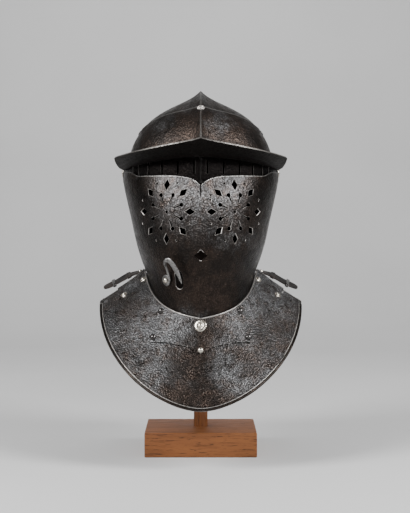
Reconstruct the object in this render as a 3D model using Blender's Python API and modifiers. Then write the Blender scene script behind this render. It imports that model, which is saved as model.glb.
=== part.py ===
"""An armet, a closed cuirassier helmet, on its plain wooden stand.

Metres, +Z up, the face towards -Y. The origin is the centre of the block's underside. The visor and the
face guard turn on one axis, along X, through the two pivot rivets. Around that axis the skull, the visor
and the top of the face guard are nested surfaces of revolution, one outside the other, so they turn freely.
"""

import math

import bmesh
import bpy
import numpy as np
from mathutils import Matrix, Vector

MM = 0.001

# Stand
BLOCK_WIDTH = 150 * MM
BLOCK_DEPTH = 120 * MM
BLOCK_HEIGHT = 33 * MM
BLOCK_EDGE = 2 * MM
POST_RADIUS = 9.5 * MM
POST_HEAD_RADIUS = 24 * MM
POST_HEAD_HEIGHT = 30 * MM
POST_SINK = 12 * MM
POST_SEAT = 1.3  # room under the skull, in wall thicknesses, because the wall is slanted there

# Helmet form, outer side of the skull
PIVOT_HEIGHT = 380 * MM
SKULL_HALF_WIDTH = 99.5 * MM
SKULL_RADIUS = 94 * MM
SKULL_WALL = 2.0 * MM
COMB_HEIGHT = 18 * MM
COMB_SPREAD = 18 * MM
FORM_POWER = 2.1
NECK_DROP = 135 * MM
SKULL_BROW_ANGLE = math.radians(40)

# Plates over the skull
PLATE_WALL = 1.8 * MM
VISOR_CLEARANCE = 2.0 * MM
GUARD_CLEARANCE = 0.6 * MM
VISOR_LAYER = VISOR_CLEARANCE + PLATE_WALL
GUARD_LAYER = VISOR_LAYER + GUARD_CLEARANCE + PLATE_WALL
FIT = 0.3 * MM
SPLIT_GAP = 1.2 * MM

# Visor and peak
VISOR_FOOT_ANGLE = math.radians(-8)
VISOR_TOP_ANGLE = math.radians(48)
VISOR_TOP_RISE = math.radians(15)
BROW_HALF_WIDTH = 79 * MM
ARM_TOP = 32 * MM
PEAK_HALF_WIDTH = 123 * MM
PEAK_REACH = 158 * MM
PEAK_EDGE_HEIGHT = 37.5 * MM
PEAK_SIDE_FALL = 20.5 * MM
PEAK_CORNER_FALL = 10 * MM
PEAK_CORNER_INSET = 12 * MM
PEAK_CORNER_ANGLE = math.radians(64)
PEAK_ROOT_HEIGHT = 19 * MM
PEAK_ROOT_FALL = 14 * MM
PEAK_END_ANGLE = math.radians(76)
SIGHT_SLIT_WIDTH = 2.4 * MM
SIGHT_SLIT_HEIGHT = 17 * MM
SIGHT_SLIT_MIDDLE = 4 * MM
SIGHT_SLIT_ANGLES = (4.5, 17, 30, 42, 52, 60)

# Face guard
GUARD_TOP_DROP = 6 * MM
NOTCH_DEPTH = 14 * MM
NOTCH_SPREAD = 11 * MM
NOTCH_SLIT = 1.6 * MM
NOTCH_SLIT_DEPTH = 28 * MM
RIM_FRONT_HEIGHT = 190 * MM
RIM_SLOPE = 0.54
GUARD_TUCK = 7 * MM
ROSETTE_X = 44.2 * MM
ROSETTE_HEIGHT = 327 * MM
ROSETTE_RADIUS = 35 * MM
ROSETTE_LEAVES = 8
LEAF_LENGTH = 12.4 * MM
LEAF_WIDTH = 7.4 * MM
KEY_HEAD = ROSETTE_RADIUS * 0.67
KEY_HEAD_RADIUS = 3 * MM
KEY_FOOT = ROSETTE_RADIUS * 0.33
KEY_FOOT_WIDTH = 1.6 * MM
DOT_REACH = ROSETTE_RADIUS * 1.14
DOT_RADIUS = 1.4 * MM
EYELET_RADIUS = 2 * MM
MOUTH_HOLE_HEIGHT = 271 * MM
MOUTH_HOLE_WIDTH = 18 * MM
MOUTH_HOLE_TALL = 13.5 * MM
CATCH_SLOT_X = -28 * MM
CATCH_SLOT_HEIGHT = 239 * MM
CATCH_SLOT_WIDTH = 12 * MM
CATCH_SLOT_TALL = 24 * MM

# Turning hook on the cheek
HOOK_X = -44 * MM
HOOK_HEIGHT = 238 * MM
HOOK_REACH = 29 * MM
HOOK_BAR_RADIUS = 1.7 * MM
HOOK_EYE_RADIUS = 7.5 * MM
HOOK_EYE_WALL = 1.6 * MM
HOOK_EYE_GAP = 0.5 * MM
HOOK_SHANK_RADIUS = 2 * MM
HOOK_HEAD_RADIUS = 4 * MM
HOOK_HEAD_HEIGHT = 3.2 * MM
HOOK_BAR_POINTS = 15

# Pivots
PIVOT_SHANK_RADIUS = 3 * MM
PIVOT_HEAD_RADIUS = 6.5 * MM
PIVOT_HEAD_HEIGHT = 3.2 * MM
VISOR_EYE_RADIUS = 10 * MM
GUARD_EYE_RADIUS = 14 * MM
SKULL_EYE_RADIUS = 9 * MM
EYE_HOLLOW = 0.6 * MM
EYE_INSET = 0.1 * MM
BURR_RADIUS = 5 * MM
BURR_HEIGHT = 1.5 * MM

# Gorget
GORGET_HALF_WIDTH = 137 * MM
GORGET_REACH = 168 * MM
GORGET_SHOULDER_Y = -15 * MM
GORGET_FRONT_FOOT = 78 * MM
GORGET_SHOULDER_HEIGHT = 206 * MM
GORGET_FLARE = 1.15
REAR_REACH = 140 * MM
REAR_FOOT = 165 * MM
REAR_RIM_HEIGHT = 262 * MM
COLLAR_GAP = 0.4 * MM
REAR_GAP = 0.8 * MM
PLATE_START = 0.2
COLLAR_END = 0.8
EDGE_RISE = 0.85

# Straps
STRAP_LENGTH = 66 * MM
STRAP_WIDTH = 18 * MM
STRAP_THICKNESS = 2.6 * MM
STRAP_LIFT = 0.7 * MM
STRAP_RIVET_RADIUS = 3.4 * MM
STRAP_RIVET_HEIGHT = 2.6 * MM
STRAP_STUD_RADIUS = 2.4 * MM
STRAP_STUD_HEIGHT = 2.2 * MM

# Fittings of the skull
SIDE_RIVET_X = 82.6 * MM
SIDE_RIVET_TURN = math.radians(92)
SIDE_RIVET_RADIUS = 3.2 * MM
SIDE_RIVET_HEIGHT = 1.1 * MM
LATCH_ANGLE = math.radians(-84)
LATCH_RIVET_Z = 281 * MM
LATCH_RIVET_RADIUS = 3.2 * MM
LATCH_RIVET_HEIGHT = 3 * MM
LATCH_STUD_Z = 267 * MM
LATCH_STUD_RADIUS = 4.5 * MM
LATCH_STUD_HEIGHT = 7 * MM

# Nub at the top of the visor
NUB_RADIUS = 3.4 * MM
NUB_HEIGHT = 3 * MM
NUB_DROP = math.radians(3)

# Reach of the cutters, past what they cut
CUT_REACH = 200 * MM
CUT_DEPTH = 25 * MM
CUT_OVER = 5 * MM

# Divisions of the curved plates and the round pieces
SKULL_COLUMNS = 22
SKULL_ROWS = 19
CROWN_ROWS = 14
VISOR_ROWS = 8
PEAK_COLUMNS = 22
PEAK_ROWS = 4
GUARD_ROWS = 14
GORGET_COLUMNS = 24
GORGET_ROWS = 5
COLLAR_ROWS = 6
REAR_COLUMNS = 20
REAR_ROWS = 5
POST_SIDES = 20
EYE_SIDES = 24
HOLE_SIDES = 16
PIVOT_SIDES = 12
HEAD_RINGS = 3
HEAD_SIDES = 8


def table_row(rows, share):
    """The row of a table of sections at this share, with a smooth curve through the rows."""
    table = np.array(rows, float)
    keys = table[:, 0]
    share = min(max(share, keys[0]), keys[-1])
    low = min(int(np.searchsorted(keys, share, side="right")) - 1, len(keys) - 2)
    step = keys[low + 1] - keys[low]
    part = (share - keys[low]) / step
    before = table[max(low - 1, 0)]
    after = table[min(low + 2, len(keys) - 1)]
    start, end = table[low], table[low + 1]
    slope_start = (end - before) / max(end[0] - before[0], 1e-9) * step
    slope_end = (after - start) / max(after[0] - start[0], 1e-9) * step
    return (
        start * (2 * part**3 - 3 * part**2 + 1)
        + slope_start * (part**3 - 2 * part**2 + part)
        + end * (3 * part**2 - 2 * part**3)
        + slope_end * (part**3 - part**2)
    )


# Columns: drop below the pivots as a share of NECK_DROP, then width as a share of SKULL_HALF_WIDTH,
# front depth and rear depth as shares of SKULL_RADIUS, front comb and rear comb as shares of COMB_HEIGHT.
HEAD_SECTIONS = (
    (0.00, 1.000, 1.000, 1.000, 1.00, 1.00),
    (0.12, 0.992, 1.050, 1.020, 0.80, 0.85),
    (0.28, 0.948, 1.125, 1.060, 0.56, 0.60),
    (0.46, 0.892, 1.155, 1.060, 0.47, 0.35),
    (0.68, 0.828, 1.165, 0.980, 0.42, 0.15),
    (0.85, 0.762, 1.150, 0.880, 0.38, 0.05),
    (0.96, 0.706, 1.130, 0.830, 0.36, 0.00),
    (1.04, 0.666, 1.110, 0.810, 0.35, 0.00),
    (1.20, 0.650, 1.070, 0.800, 0.35, 0.00),
    (1.45, 0.650, 1.010, 0.800, 0.35, 0.00),
)


def round_share(angle):
    """The depth share of the form's section, where sin(angle) is the width share."""
    side = min(abs(math.sin(angle)), 1.0)
    return (1 - side**FORM_POWER) ** (1 / FORM_POWER)


def comb_share(x, angle):
    return math.exp(-abs(x) / COMB_SPREAD) * max(math.cos(angle), 0.0)


def crown_point(angle, turn, layer):
    """A point of the upper form: angle runs from ear to ear, turn goes about the pivot axis, 0 forward."""
    x = (SKULL_HALF_WIDTH + layer) * math.sin(angle)
    radius = (SKULL_RADIUS + layer) * round_share(angle) + COMB_HEIGHT * comb_share(x, angle)
    return Vector((x, -radius * math.cos(turn), PIVOT_HEIGHT + radius * math.sin(turn)))


def face_point(angle, height, layer):
    """A point of the front form below the pivots."""
    row = table_row(HEAD_SECTIONS, (PIVOT_HEIGHT - height) / NECK_DROP)
    x = (SKULL_HALF_WIDTH * row[1] + layer) * math.sin(angle)
    depth = (SKULL_RADIUS * row[2] + layer) * round_share(angle)
    depth += COMB_HEIGHT * row[4] * comb_share(x, angle)
    return Vector((x, -SPLIT_GAP / 2 - depth, height))


def nape_point(angle, height, layer):
    """A point of the rear form below the pivots."""
    row = table_row(HEAD_SECTIONS, (PIVOT_HEIGHT - height) / NECK_DROP)
    x = (SKULL_HALF_WIDTH * row[1] + layer) * math.sin(angle)
    depth = (SKULL_RADIUS * row[3] + layer) * round_share(angle)
    depth += COMB_HEIGHT * row[5] * comb_share(x, angle)
    gap = SPLIT_GAP / 2 * min((PIVOT_HEIGHT - height) / (NECK_DROP * HEAD_SECTIONS[1][0]), 1)
    return Vector((x, gap + depth, height))


def rim_point(angle, tuck, layer):
    """A point of the face guard's form on the slanted plane of the collar's rim, or tuck below it."""
    height = RIM_FRONT_HEIGHT
    front = face_point(0, RIM_FRONT_HEIGHT, layer).y
    for _ in range(12):
        y = face_point(angle, height, layer).y
        height = RIM_FRONT_HEIGHT + RIM_SLOPE * (y - front) - tuck
    return face_point(angle, height, layer)


def gorget_edge(angle):
    """The outer edge of the front gorget plate."""
    x = GORGET_HALF_WIDTH * math.sin(angle)
    y = GORGET_SHOULDER_Y - (GORGET_REACH + GORGET_SHOULDER_Y) * math.cos(angle)
    rise = (1 - math.cos(angle)) ** EDGE_RISE
    return Vector((x, y, GORGET_FRONT_FOOT + (GORGET_SHOULDER_HEIGHT - GORGET_FRONT_FOOT) * rise))


def flared(start, end, share):
    """A point between neck and edge, going down faster at first."""
    out = share**GORGET_FLARE
    return Vector((
        start.x + (end.x - start.x) * out,
        start.y + (end.y - start.y) * out,
        start.z + (end.z - start.z) * share,
    ))


def gorget_point(angle, share, layer):
    """A point of the front gorget, share 0 at the neck rim and 1 at the outer edge."""
    neck = rim_point(angle, 0, GUARD_LAYER + COLLAR_GAP)
    side = 1e-3
    here = flared(neck, gorget_edge(angle), share)
    if not layer:
        return here
    along = flared(neck, gorget_edge(angle), share + side) - here
    shift = angle + side if angle < 0 else angle - side
    other = flared(rim_point(shift, 0, GUARD_LAYER + COLLAR_GAP), gorget_edge(shift), share) - here
    normal = along.cross(other).normalized()
    if normal.dot(Vector((here.x, here.y, 0.02))) < 0:
        normal = -normal
    return here + normal * layer


def rear_gorget_point(angle, share):
    """A point of the rear gorget, angle 0 at the back."""
    slope = (REAR_RIM_HEIGHT - (PIVOT_HEIGHT - NECK_DROP)) / SKULL_RADIUS
    height = PIVOT_HEIGHT - NECK_DROP + slope * SKULL_RADIUS * math.cos(angle)
    neck = nape_point(angle, height, REAR_GAP + PLATE_WALL)
    shoulder_y = GORGET_SHOULDER_Y + 2 * MM
    rise = (1 - math.cos(angle)) ** EDGE_RISE
    edge = Vector((
        GORGET_HALF_WIDTH * 0.985 * math.sin(angle),
        shoulder_y + (REAR_REACH - shoulder_y) * math.cos(angle),
        REAR_FOOT + (GORGET_SHOULDER_HEIGHT - REAR_FOOT) * rise,
    ))
    return flared(neck, edge, share)


def fresh_collection(name):
    collection = bpy.data.collections.new(name)
    bpy.context.scene.collection.children.link(collection)
    return collection


def steel(name, colour, roughness, metallic=1.0):
    material = bpy.data.materials.new(name)
    material.use_nodes = True
    shader = material.node_tree.nodes["Principled BSDF"]
    shader.inputs["Base Color"].default_value = (*colour, 1)
    shader.inputs["Roughness"].default_value = roughness
    shader.inputs["Metallic"].default_value = metallic
    return material


def link(name, mesh, material, collection):
    obj = bpy.data.objects.new(name, mesh)
    collection.objects.link(obj)
    if material:
        mesh.materials.append(material)
    return obj


def smooth(mesh, degrees=35):
    mesh.shade_smooth()
    mesh.set_sharp_from_angle(angle=math.radians(degrees))


def sheet(name, columns, rows, place, wall, material, collection):
    """A grid placed by a function of two shares, thickened inwards. Its normals point out."""
    mesh = bpy.data.meshes.new(name)
    bm = bmesh.new()
    bmesh.ops.create_grid(bm, x_segments=columns, y_segments=rows, size=0.5)
    for vert in bm.verts:
        vert.co = place(vert.co.x + 0.5, vert.co.y + 0.5)
    bmesh.ops.remove_doubles(bm, verts=bm.verts, dist=1e-5)
    bm.normal_update()
    bm.to_mesh(mesh)
    bm.free()
    smooth(mesh)
    obj = link(name, mesh, material, collection)
    solid = obj.modifiers.new("wall", "SOLIDIFY")
    solid.thickness = wall
    solid.offset = -1
    return obj


def flip(obj):
    """Turns the faces of a sheet over, so that its wall grows to the other side."""
    bm = bmesh.new()
    bm.from_mesh(obj.data)
    bmesh.ops.reverse_faces(bm, faces=bm.faces)
    bm.to_mesh(obj.data)
    bm.free()


def prism(bm, outline, centre, right, up, reach):
    """A straight prism of a flat outline, reaching this far to both sides of its plane."""
    out = right.cross(up).normalized()
    made = bmesh.ops.create_circle(bm, cap_ends=True, segments=len(outline), radius=1)
    for vert, (across, along) in zip(made["verts"], outline):
        vert.co = centre + right * across + up * along - out * reach
    face = made["verts"][0].link_faces[0]
    pulled = bmesh.ops.extrude_face_region(bm, geom=[face])
    top = [item for item in pulled["geom"] if isinstance(item, bmesh.types.BMVert)]
    bmesh.ops.translate(bm, verts=top, vec=out * 2 * reach)


def cutter(name, fill, collection):
    """A hidden object for a Boolean, filled by a function of its bmesh."""
    mesh = bpy.data.meshes.new(name)
    bm = bmesh.new()
    fill(bm)
    bmesh.ops.recalc_face_normals(bm, faces=bm.faces)
    bm.to_mesh(mesh)
    bm.free()
    obj = link(name, mesh, None, collection)
    obj.hide_render = True
    obj.display_type = "WIRE"
    return obj


def boolean(obj, other, operation):
    modifier = obj.modifiers.new(operation.lower(), "BOOLEAN")
    modifier.operation = operation
    modifier.object = other
    modifier.solver = "EXACT"


def disc(bm, x_from, x_to, radius, segments):
    """A round plate on the pivot axis."""
    made = bmesh.ops.create_cone(
        bm, cap_ends=True, segments=segments, radius1=radius, radius2=radius, depth=abs(x_to - x_from)
    )
    turn = Matrix.Rotation(math.pi / 2, 4, "Y")
    place = Matrix.Translation(((x_from + x_to) / 2, 0, PIVOT_HEIGHT))
    bmesh.ops.transform(bm, matrix=place @ turn, verts=made["verts"])


def eyes(name, layer, wall, radius, collection):
    """The round eyes that a plate has about its two pivots."""

    def fill(bm):
        outer = SKULL_HALF_WIDTH + layer
        for side in (-1, 1):
            disc(bm, side * (outer - wall - EYE_INSET), side * (outer - EYE_INSET), radius, EYE_SIDES)

    return cutter(name, fill, collection)


def pivot_holes(bm):
    reach = SKULL_HALF_WIDTH + GUARD_LAYER
    for side in (-1, 1):
        inner, outer = side * (reach - CUT_DEPTH), side * (reach + CUT_OVER)
        disc(bm, inner, outer, PIVOT_SHANK_RADIUS + FIT, HOLE_SIDES)


def turned(name, profile, steps, location, direction, material, collection):
    """A turned piece: a profile of (radius, height) from its top, along this direction."""
    mesh = bpy.data.meshes.new(name)
    bm = bmesh.new()
    verts = [bm.verts.new((radius, 0, height)) for radius, height in profile]
    for first, second in zip(verts, verts[1:]):
        bm.edges.new((first, second))
    bm.to_mesh(mesh)
    bm.free()
    obj = link(name, mesh, material, collection)
    screw = obj.modifiers.new("turn", "SCREW")
    screw.steps = steps
    screw.render_steps = steps
    screw.use_merge_vertices = True
    screw.merge_threshold = 1e-5
    obj.location = location
    obj.rotation_mode = "QUATERNION"
    obj.rotation_quaternion = Vector(direction).to_track_quat("Z", "Y")
    return obj


def dome(radius, height, rings):
    """The profile of a round rivet head on a flat underside."""
    turns = [math.pi / 2 * ring / rings for ring in range(rings)]
    points = [(radius * math.sin(turn), height * math.cos(turn)) for turn in turns]
    return [*points, (radius, 0), (0, 0)]


def normal_of(place, first, second, step=1e-3):
    """The outward normal of a surface given by a function of two values."""
    here = place(first, second)
    normal = (place(first + step, second) - here).cross(place(first, second + step) - here).normalized()
    away = Vector((here.x, here.y, 0))
    return normal if normal.dot(away) > 0 else -normal


for old in list(bpy.data.objects):
    bpy.data.objects.remove(old, do_unlink=True)

parts = fresh_collection("armet_on_stand")
cutters = fresh_collection("cutters")

russet = steel("russet_steel", (0.05, 0.04, 0.035), 0.45)
bright = steel("worn_steel", (0.35, 0.33, 0.30), 0.35)
leather = steel("old_leather", (0.06, 0.03, 0.02), 0.8, 0.0)
wood = steel("reddish_wood", (0.28, 0.11, 0.05), 0.5, 0.0)


def build_stand():
    mesh = bpy.data.meshes.new("stand_block")
    bm = bmesh.new()
    bmesh.ops.create_cube(bm, size=1)
    bmesh.ops.scale(bm, vec=(BLOCK_WIDTH, BLOCK_DEPTH, BLOCK_HEIGHT), verts=bm.verts)
    bmesh.ops.translate(bm, vec=(0, 0, BLOCK_HEIGHT / 2), verts=bm.verts)
    bm.to_mesh(mesh)
    bm.free()
    block = link("stand_block", mesh, wood, parts)
    bevel = block.modifiers.new("edges", "BEVEL")
    bevel.width = BLOCK_EDGE
    bevel.segments = 2

    def socket(bm):
        radius = POST_RADIUS + FIT
        depth = 2 * (POST_SINK + FIT)
        made = bmesh.ops.create_cone(
            bm, cap_ends=True, segments=POST_SIDES, radius1=radius, radius2=radius, depth=depth
        )
        bmesh.ops.translate(bm, vec=(0, 0, BLOCK_HEIGHT), verts=made["verts"])

    boolean(block, cutter("post_socket", socket, cutters), "DIFFERENCE")
    foot = BLOCK_HEIGHT - POST_SINK
    seats = []
    tries = 12
    for step in range(tries):
        share = step / tries
        angle = math.asin(POST_HEAD_RADIUS * share / SKULL_HALF_WIDTH)
        crest = crown_point(angle, math.pi / 2, 0).z - SKULL_WALL * POST_SEAT
        seats.append(crest - POST_HEAD_RADIUS * math.sqrt(1 - share**2))
    middle = min(seats) - FIT
    turns = [math.radians(turn) for turn in range(0, 91, 18)]
    profile = [
        (POST_HEAD_RADIUS * math.sin(turn), middle + POST_HEAD_RADIUS * math.cos(turn)) for turn in turns
    ]
    profile += [(POST_RADIUS, middle - POST_HEAD_HEIGHT), (POST_RADIUS, foot), (0, foot)]
    turned("stand_post", profile, POST_SIDES, (0, 0, 0), (0, 0, 1), wood, parts)


def build_skull():
    foot = PIVOT_HEIGHT - NECK_DROP * 1.04

    def place(across, down):
        angle = (across - 0.5) * math.pi
        row = down * SKULL_ROWS
        if row <= CROWN_ROWS:
            turn = SKULL_BROW_ANGLE + (math.pi - SKULL_BROW_ANGLE) * row / CROWN_ROWS
            return crown_point(angle, turn, 0)
        share = (row - CROWN_ROWS) / (SKULL_ROWS - CROWN_ROWS)
        return nape_point(angle, PIVOT_HEIGHT + (foot - PIVOT_HEIGHT) * share, 0)

    skull = sheet("skull", SKULL_COLUMNS, SKULL_ROWS, place, SKULL_WALL, russet, parts)
    boolean(skull, eyes("skull_eyes", 0, SKULL_WALL, SKULL_EYE_RADIUS, cutters), "UNION")
    boolean(skull, cutter("skull_pivot_holes", pivot_holes, cutters), "DIFFERENCE")


def visor_top(angle):
    x = SKULL_HALF_WIDTH * abs(math.sin(angle))
    return VISOR_TOP_ANGLE + VISOR_TOP_RISE * (x / BROW_HALF_WIDTH) ** 0.8


def peak_root(angle):
    """The line along the visor, inside its wall, that the peak grows from."""
    height = PEAK_ROOT_HEIGHT - PEAK_ROOT_FALL * math.sin(angle) ** 2
    layer = VISOR_LAYER - PLATE_WALL / 2
    radius = -crown_point(angle, 0, layer).y
    return crown_point(angle, math.asin(min(height / radius, 0.9)), layer)


def peak_edge(angle):
    swing = angle * 1.04
    corner = max((abs(angle) - PEAK_CORNER_ANGLE) / (PEAK_END_ANGLE - PEAK_CORNER_ANGLE), 0) ** 1.1
    x = math.sin(swing) * (PEAK_HALF_WIDTH - PEAK_CORNER_INSET * corner)
    y = -PEAK_REACH * max(math.cos(swing), 0.02) ** 0.9
    height = PEAK_EDGE_HEIGHT - PEAK_SIDE_FALL * abs(math.sin(swing)) ** 1.15 - PEAK_CORNER_FALL * corner
    return Vector((x, y, PIVOT_HEIGHT + height + 2.5 * MM * math.exp(-abs(x) / (10 * MM))))


def build_visor():
    def place(across, down):
        angle = (across - 0.5) * math.pi
        turn = visor_top(angle) + (VISOR_FOOT_ANGLE - visor_top(angle)) * down
        return crown_point(angle, turn, VISOR_LAYER)

    visor = sheet("visor", SKULL_COLUMNS, VISOR_ROWS, place, PLATE_WALL, russet, parts)
    flip(visor)

    def side_cuts(bm):
        for side in (-1, 1):
            made = bmesh.ops.create_cube(bm, size=1)
            bmesh.ops.scale(bm, vec=(CUT_REACH, 2 * CUT_REACH, CUT_REACH), verts=made["verts"])
            middle = (side * (BROW_HALF_WIDTH + CUT_REACH / 2), 0, PIVOT_HEIGHT + ARM_TOP + CUT_REACH / 2)
            bmesh.ops.translate(bm, vec=middle, verts=made["verts"])

    boolean(visor, cutter("visor_side_cuts", side_cuts, cutters), "DIFFERENCE")

    def peak_place(across, down):
        angle = (across - 0.5) * 2 * PEAK_END_ANGLE
        root, edge = peak_root(angle), peak_edge(angle)
        outward = Vector((edge.x - root.x, edge.y - root.y, 0))
        bend = root + outward * 0.3 - Vector((0, 0, 3 * MM))
        return root * (1 - down) ** 2 + bend * 2 * down * (1 - down) + edge * down**2

    peak = sheet("peak_sheet", PEAK_COLUMNS, PEAK_ROWS, peak_place, PLATE_WALL, None, cutters)
    peak.hide_render = True
    peak.display_type = "WIRE"
    boolean(visor, peak, "UNION")
    boolean(visor, eyes("visor_eyes", VISOR_LAYER, PLATE_WALL, VISOR_EYE_RADIUS, cutters), "UNION")

    def openings(bm):
        pivot_holes(bm)
        for degrees in SIGHT_SLIT_ANGLES:
            for side in (-1, 1):
                turn = side * math.radians(degrees)
                direction = Vector((math.sin(turn), -math.cos(turn), 0))
                right = Vector((-direction.y, direction.x, 0))
                half = SIGHT_SLIT_WIDTH / 2
                tall = SIGHT_SLIT_HEIGHT / 2
                outline = [(-half, -tall), (half, -tall), (half, tall), (-half, tall)]
                centre = direction * SKULL_HALF_WIDTH + Vector((0, 0, PIVOT_HEIGHT + SIGHT_SLIT_MIDDLE))
                prism(bm, outline, centre, right, Vector((0, 0, 1)), CUT_DEPTH)

    boolean(visor, cutter("visor_openings", openings, cutters), "DIFFERENCE")
    top = crown_point(0, VISOR_TOP_ANGLE - NUB_DROP, VISOR_LAYER + FIT * 2)
    up = Vector((0, -math.cos(VISOR_TOP_ANGLE), math.sin(VISOR_TOP_ANGLE)))
    turned("visor_nub", dome(NUB_RADIUS, NUB_HEIGHT, HEAD_RINGS), HEAD_SIDES, top, up, bright, parts)


def guard_top(angle):
    x = SKULL_HALF_WIDTH * abs(math.sin(angle))
    arm = min(max((abs(angle) - math.radians(50)) / math.radians(15), 0), 1)
    drop = GUARD_TOP_DROP * (1 - arm * arm * (3 - 2 * arm))
    return PIVOT_HEIGHT - drop - NOTCH_DEPTH * math.exp(-x / NOTCH_SPREAD)


def round_point(radius, turn):
    return radius * math.cos(turn), radius * math.sin(turn)


def turn_outline(outline, turn):
    cos, sin = math.cos(turn), math.sin(turn)
    return [(across * cos - along * sin, across * sin + along * cos) for across, along in outline]


def rosette_outlines():
    """The pierced pattern of one rosette: leaves, keyholes, dots and a middle hole."""
    step = 2 * math.pi / ROSETTE_LEAVES
    reach, half = LEAF_LENGTH / 2, LEAF_WIDTH / 2
    leaf = [(-reach, 0), (0, half), (reach, 0), (0, -half)]
    leaf = [(ROSETTE_RADIUS + across, along) for across, along in leaf]
    key = [(KEY_FOOT, -KEY_FOOT_WIDTH / 2)]
    for degrees in range(-140, 141, 56):
        across, along = round_point(KEY_HEAD_RADIUS, math.radians(degrees))
        key.append((KEY_HEAD + across, along))
    key.append((KEY_FOOT, KEY_FOOT_WIDTH / 2))
    dot = [round_point(DOT_RADIUS, math.radians(degrees)) for degrees in range(0, 360, 60)]
    dot = [(DOT_REACH + across, along) for across, along in dot]
    outlines = [[round_point(EYELET_RADIUS, math.radians(degrees)) for degrees in range(0, 360, 45)]]
    for index in range(ROSETTE_LEAVES):
        outlines.append(turn_outline(leaf, index * step))
        outlines.append(turn_outline(key, (index + 0.5) * step))
        outlines.append(turn_outline(dot, (index + 0.5) * step))
    return outlines


def guard_at(x, height, layer=GUARD_LAYER):
    """The point and the outward normal of the face guard at this x and height."""
    angle = 0.0
    for _ in range(30):
        angle += (x - face_point(angle, height, layer).x) / SKULL_HALF_WIDTH
    point = face_point(angle, height, layer)
    normal = normal_of(lambda first, second: face_point(first, second, layer), angle, height)
    return point, normal


def tangent_frame(normal):
    up = Vector((0, 0, 1))
    up = (up - normal * up.dot(normal)).normalized()
    return up.cross(normal), up


def build_face_guard():
    def place(across, down):
        angle = (across - 0.5) * math.pi
        foot = rim_point(angle, GUARD_TUCK, GUARD_LAYER).z
        height = guard_top(angle) + (foot - guard_top(angle)) * down
        return face_point(angle, height, GUARD_LAYER)

    guard = sheet("face_guard", SKULL_COLUMNS, GUARD_ROWS, place, PLATE_WALL, russet, parts)
    flip(guard)
    boolean(guard, eyes("guard_eyes", GUARD_LAYER, PLATE_WALL, GUARD_EYE_RADIUS, cutters), "UNION")

    def openings(bm):
        pivot_holes(bm)
        for side in (-1, 1):
            centre, normal = guard_at(side * ROSETTE_X, ROSETTE_HEIGHT)
            right, up = tangent_frame(normal)
            for outline in rosette_outlines():
                prism(bm, outline, centre, right, up, CUT_DEPTH)
        right, up = Vector((1, 0, 0)), Vector((0, 0, 1))
        half, tall = MOUTH_HOLE_WIDTH / 2, MOUTH_HOLE_TALL / 2
        diamond = [(-half, 0), (0, -tall), (half, 0), (0, tall)]
        prism(bm, diamond, face_point(0, MOUTH_HOLE_HEIGHT, GUARD_LAYER), right, up, CUT_DEPTH)
        slit = NOTCH_SLIT / 2
        deep = NOTCH_SLIT_DEPTH
        strip = [(-slit, -deep), (slit, -deep), (slit, CUT_OVER), (-slit, CUT_OVER)]
        prism(bm, strip, face_point(0, PIVOT_HEIGHT - GUARD_TOP_DROP, GUARD_LAYER), right, up, CUT_DEPTH)
        centre, normal = guard_at(CATCH_SLOT_X, CATCH_SLOT_HEIGHT)
        right, up = tangent_frame(normal)
        radius = CATCH_SLOT_WIDTH / 2
        straight = CATCH_SLOT_TALL / 2 - radius
        slot = []
        for end, start in ((1, 0), (-1, 180)):
            for degrees in range(start, start + 181, 36):
                across, along = round_point(radius, math.radians(degrees))
                slot.append((across, end * straight + along))
        prism(bm, slot, centre, right, up, CUT_DEPTH / 2)

    boolean(guard, cutter("guard_openings", openings, cutters), "DIFFERENCE")


build_stand()
build_skull()
build_visor()
build_face_guard()


# Columns: x as a share of GORGET_HALF_WIDTH, height as a share from GORGET_FRONT_FOOT up to
# GORGET_SHOULDER_HEIGHT, along the collar's lower edge from the middle point to the shoulder.
COLLAR_EDGE = (
    (0.000, 0.535),
    (0.080, 0.585),
    (0.163, 0.610),
    (0.250, 0.625),
    (0.330, 0.637),
    (0.420, 0.640),
    (0.486, 0.637),
    (0.530, 0.690),
    (0.560, 0.758),
    (0.545, 0.830),
    (0.600, 0.890),
    (0.694, 0.957),
    (0.781, 1.031),
    (0.815, 1.090),
    (0.830, 1.300),
    (0.600, 1.700),
)


def build_gorget():
    def front_place(across, down):
        return gorget_point((across - 0.5) * math.pi, PLATE_START + (1 - PLATE_START) * down, 0)

    plate = sheet("gorget_front", GORGET_COLUMNS, GORGET_ROWS, front_place, PLATE_WALL, russet, parts)
    flip(plate)
    layer = COLLAR_GAP + PLATE_WALL

    def collar_place(across, down):
        return gorget_point((across - 0.5) * math.pi, COLLAR_END * down, layer)

    collar = sheet("gorget_collar", GORGET_COLUMNS, COLLAR_ROWS, collar_place, PLATE_WALL, russet, parts)
    flip(collar)

    def outline(bm):
        tall = GORGET_SHOULDER_HEIGHT - GORGET_FRONT_FOOT
        right = [(x * GORGET_HALF_WIDTH, z * tall) for x, z in COLLAR_EDGE]
        left = [(-x, z) for x, z in reversed(right[1:])]
        middle = Vector((0, -CUT_REACH / 2, GORGET_FRONT_FOOT))
        prism(bm, right + left, middle, Vector((1, 0, 0)), Vector((0, 0, 1)), CUT_REACH * 0.65)

    boolean(collar, cutter("collar_outline", outline, cutters), "INTERSECT")

    def rear_place(across, down):
        return rear_gorget_point((0.5 - across) * math.pi, down)

    rear = sheet("rear_gorget", REAR_COLUMNS, REAR_ROWS, rear_place, PLATE_WALL, russet, parts)
    flip(rear)


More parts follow.
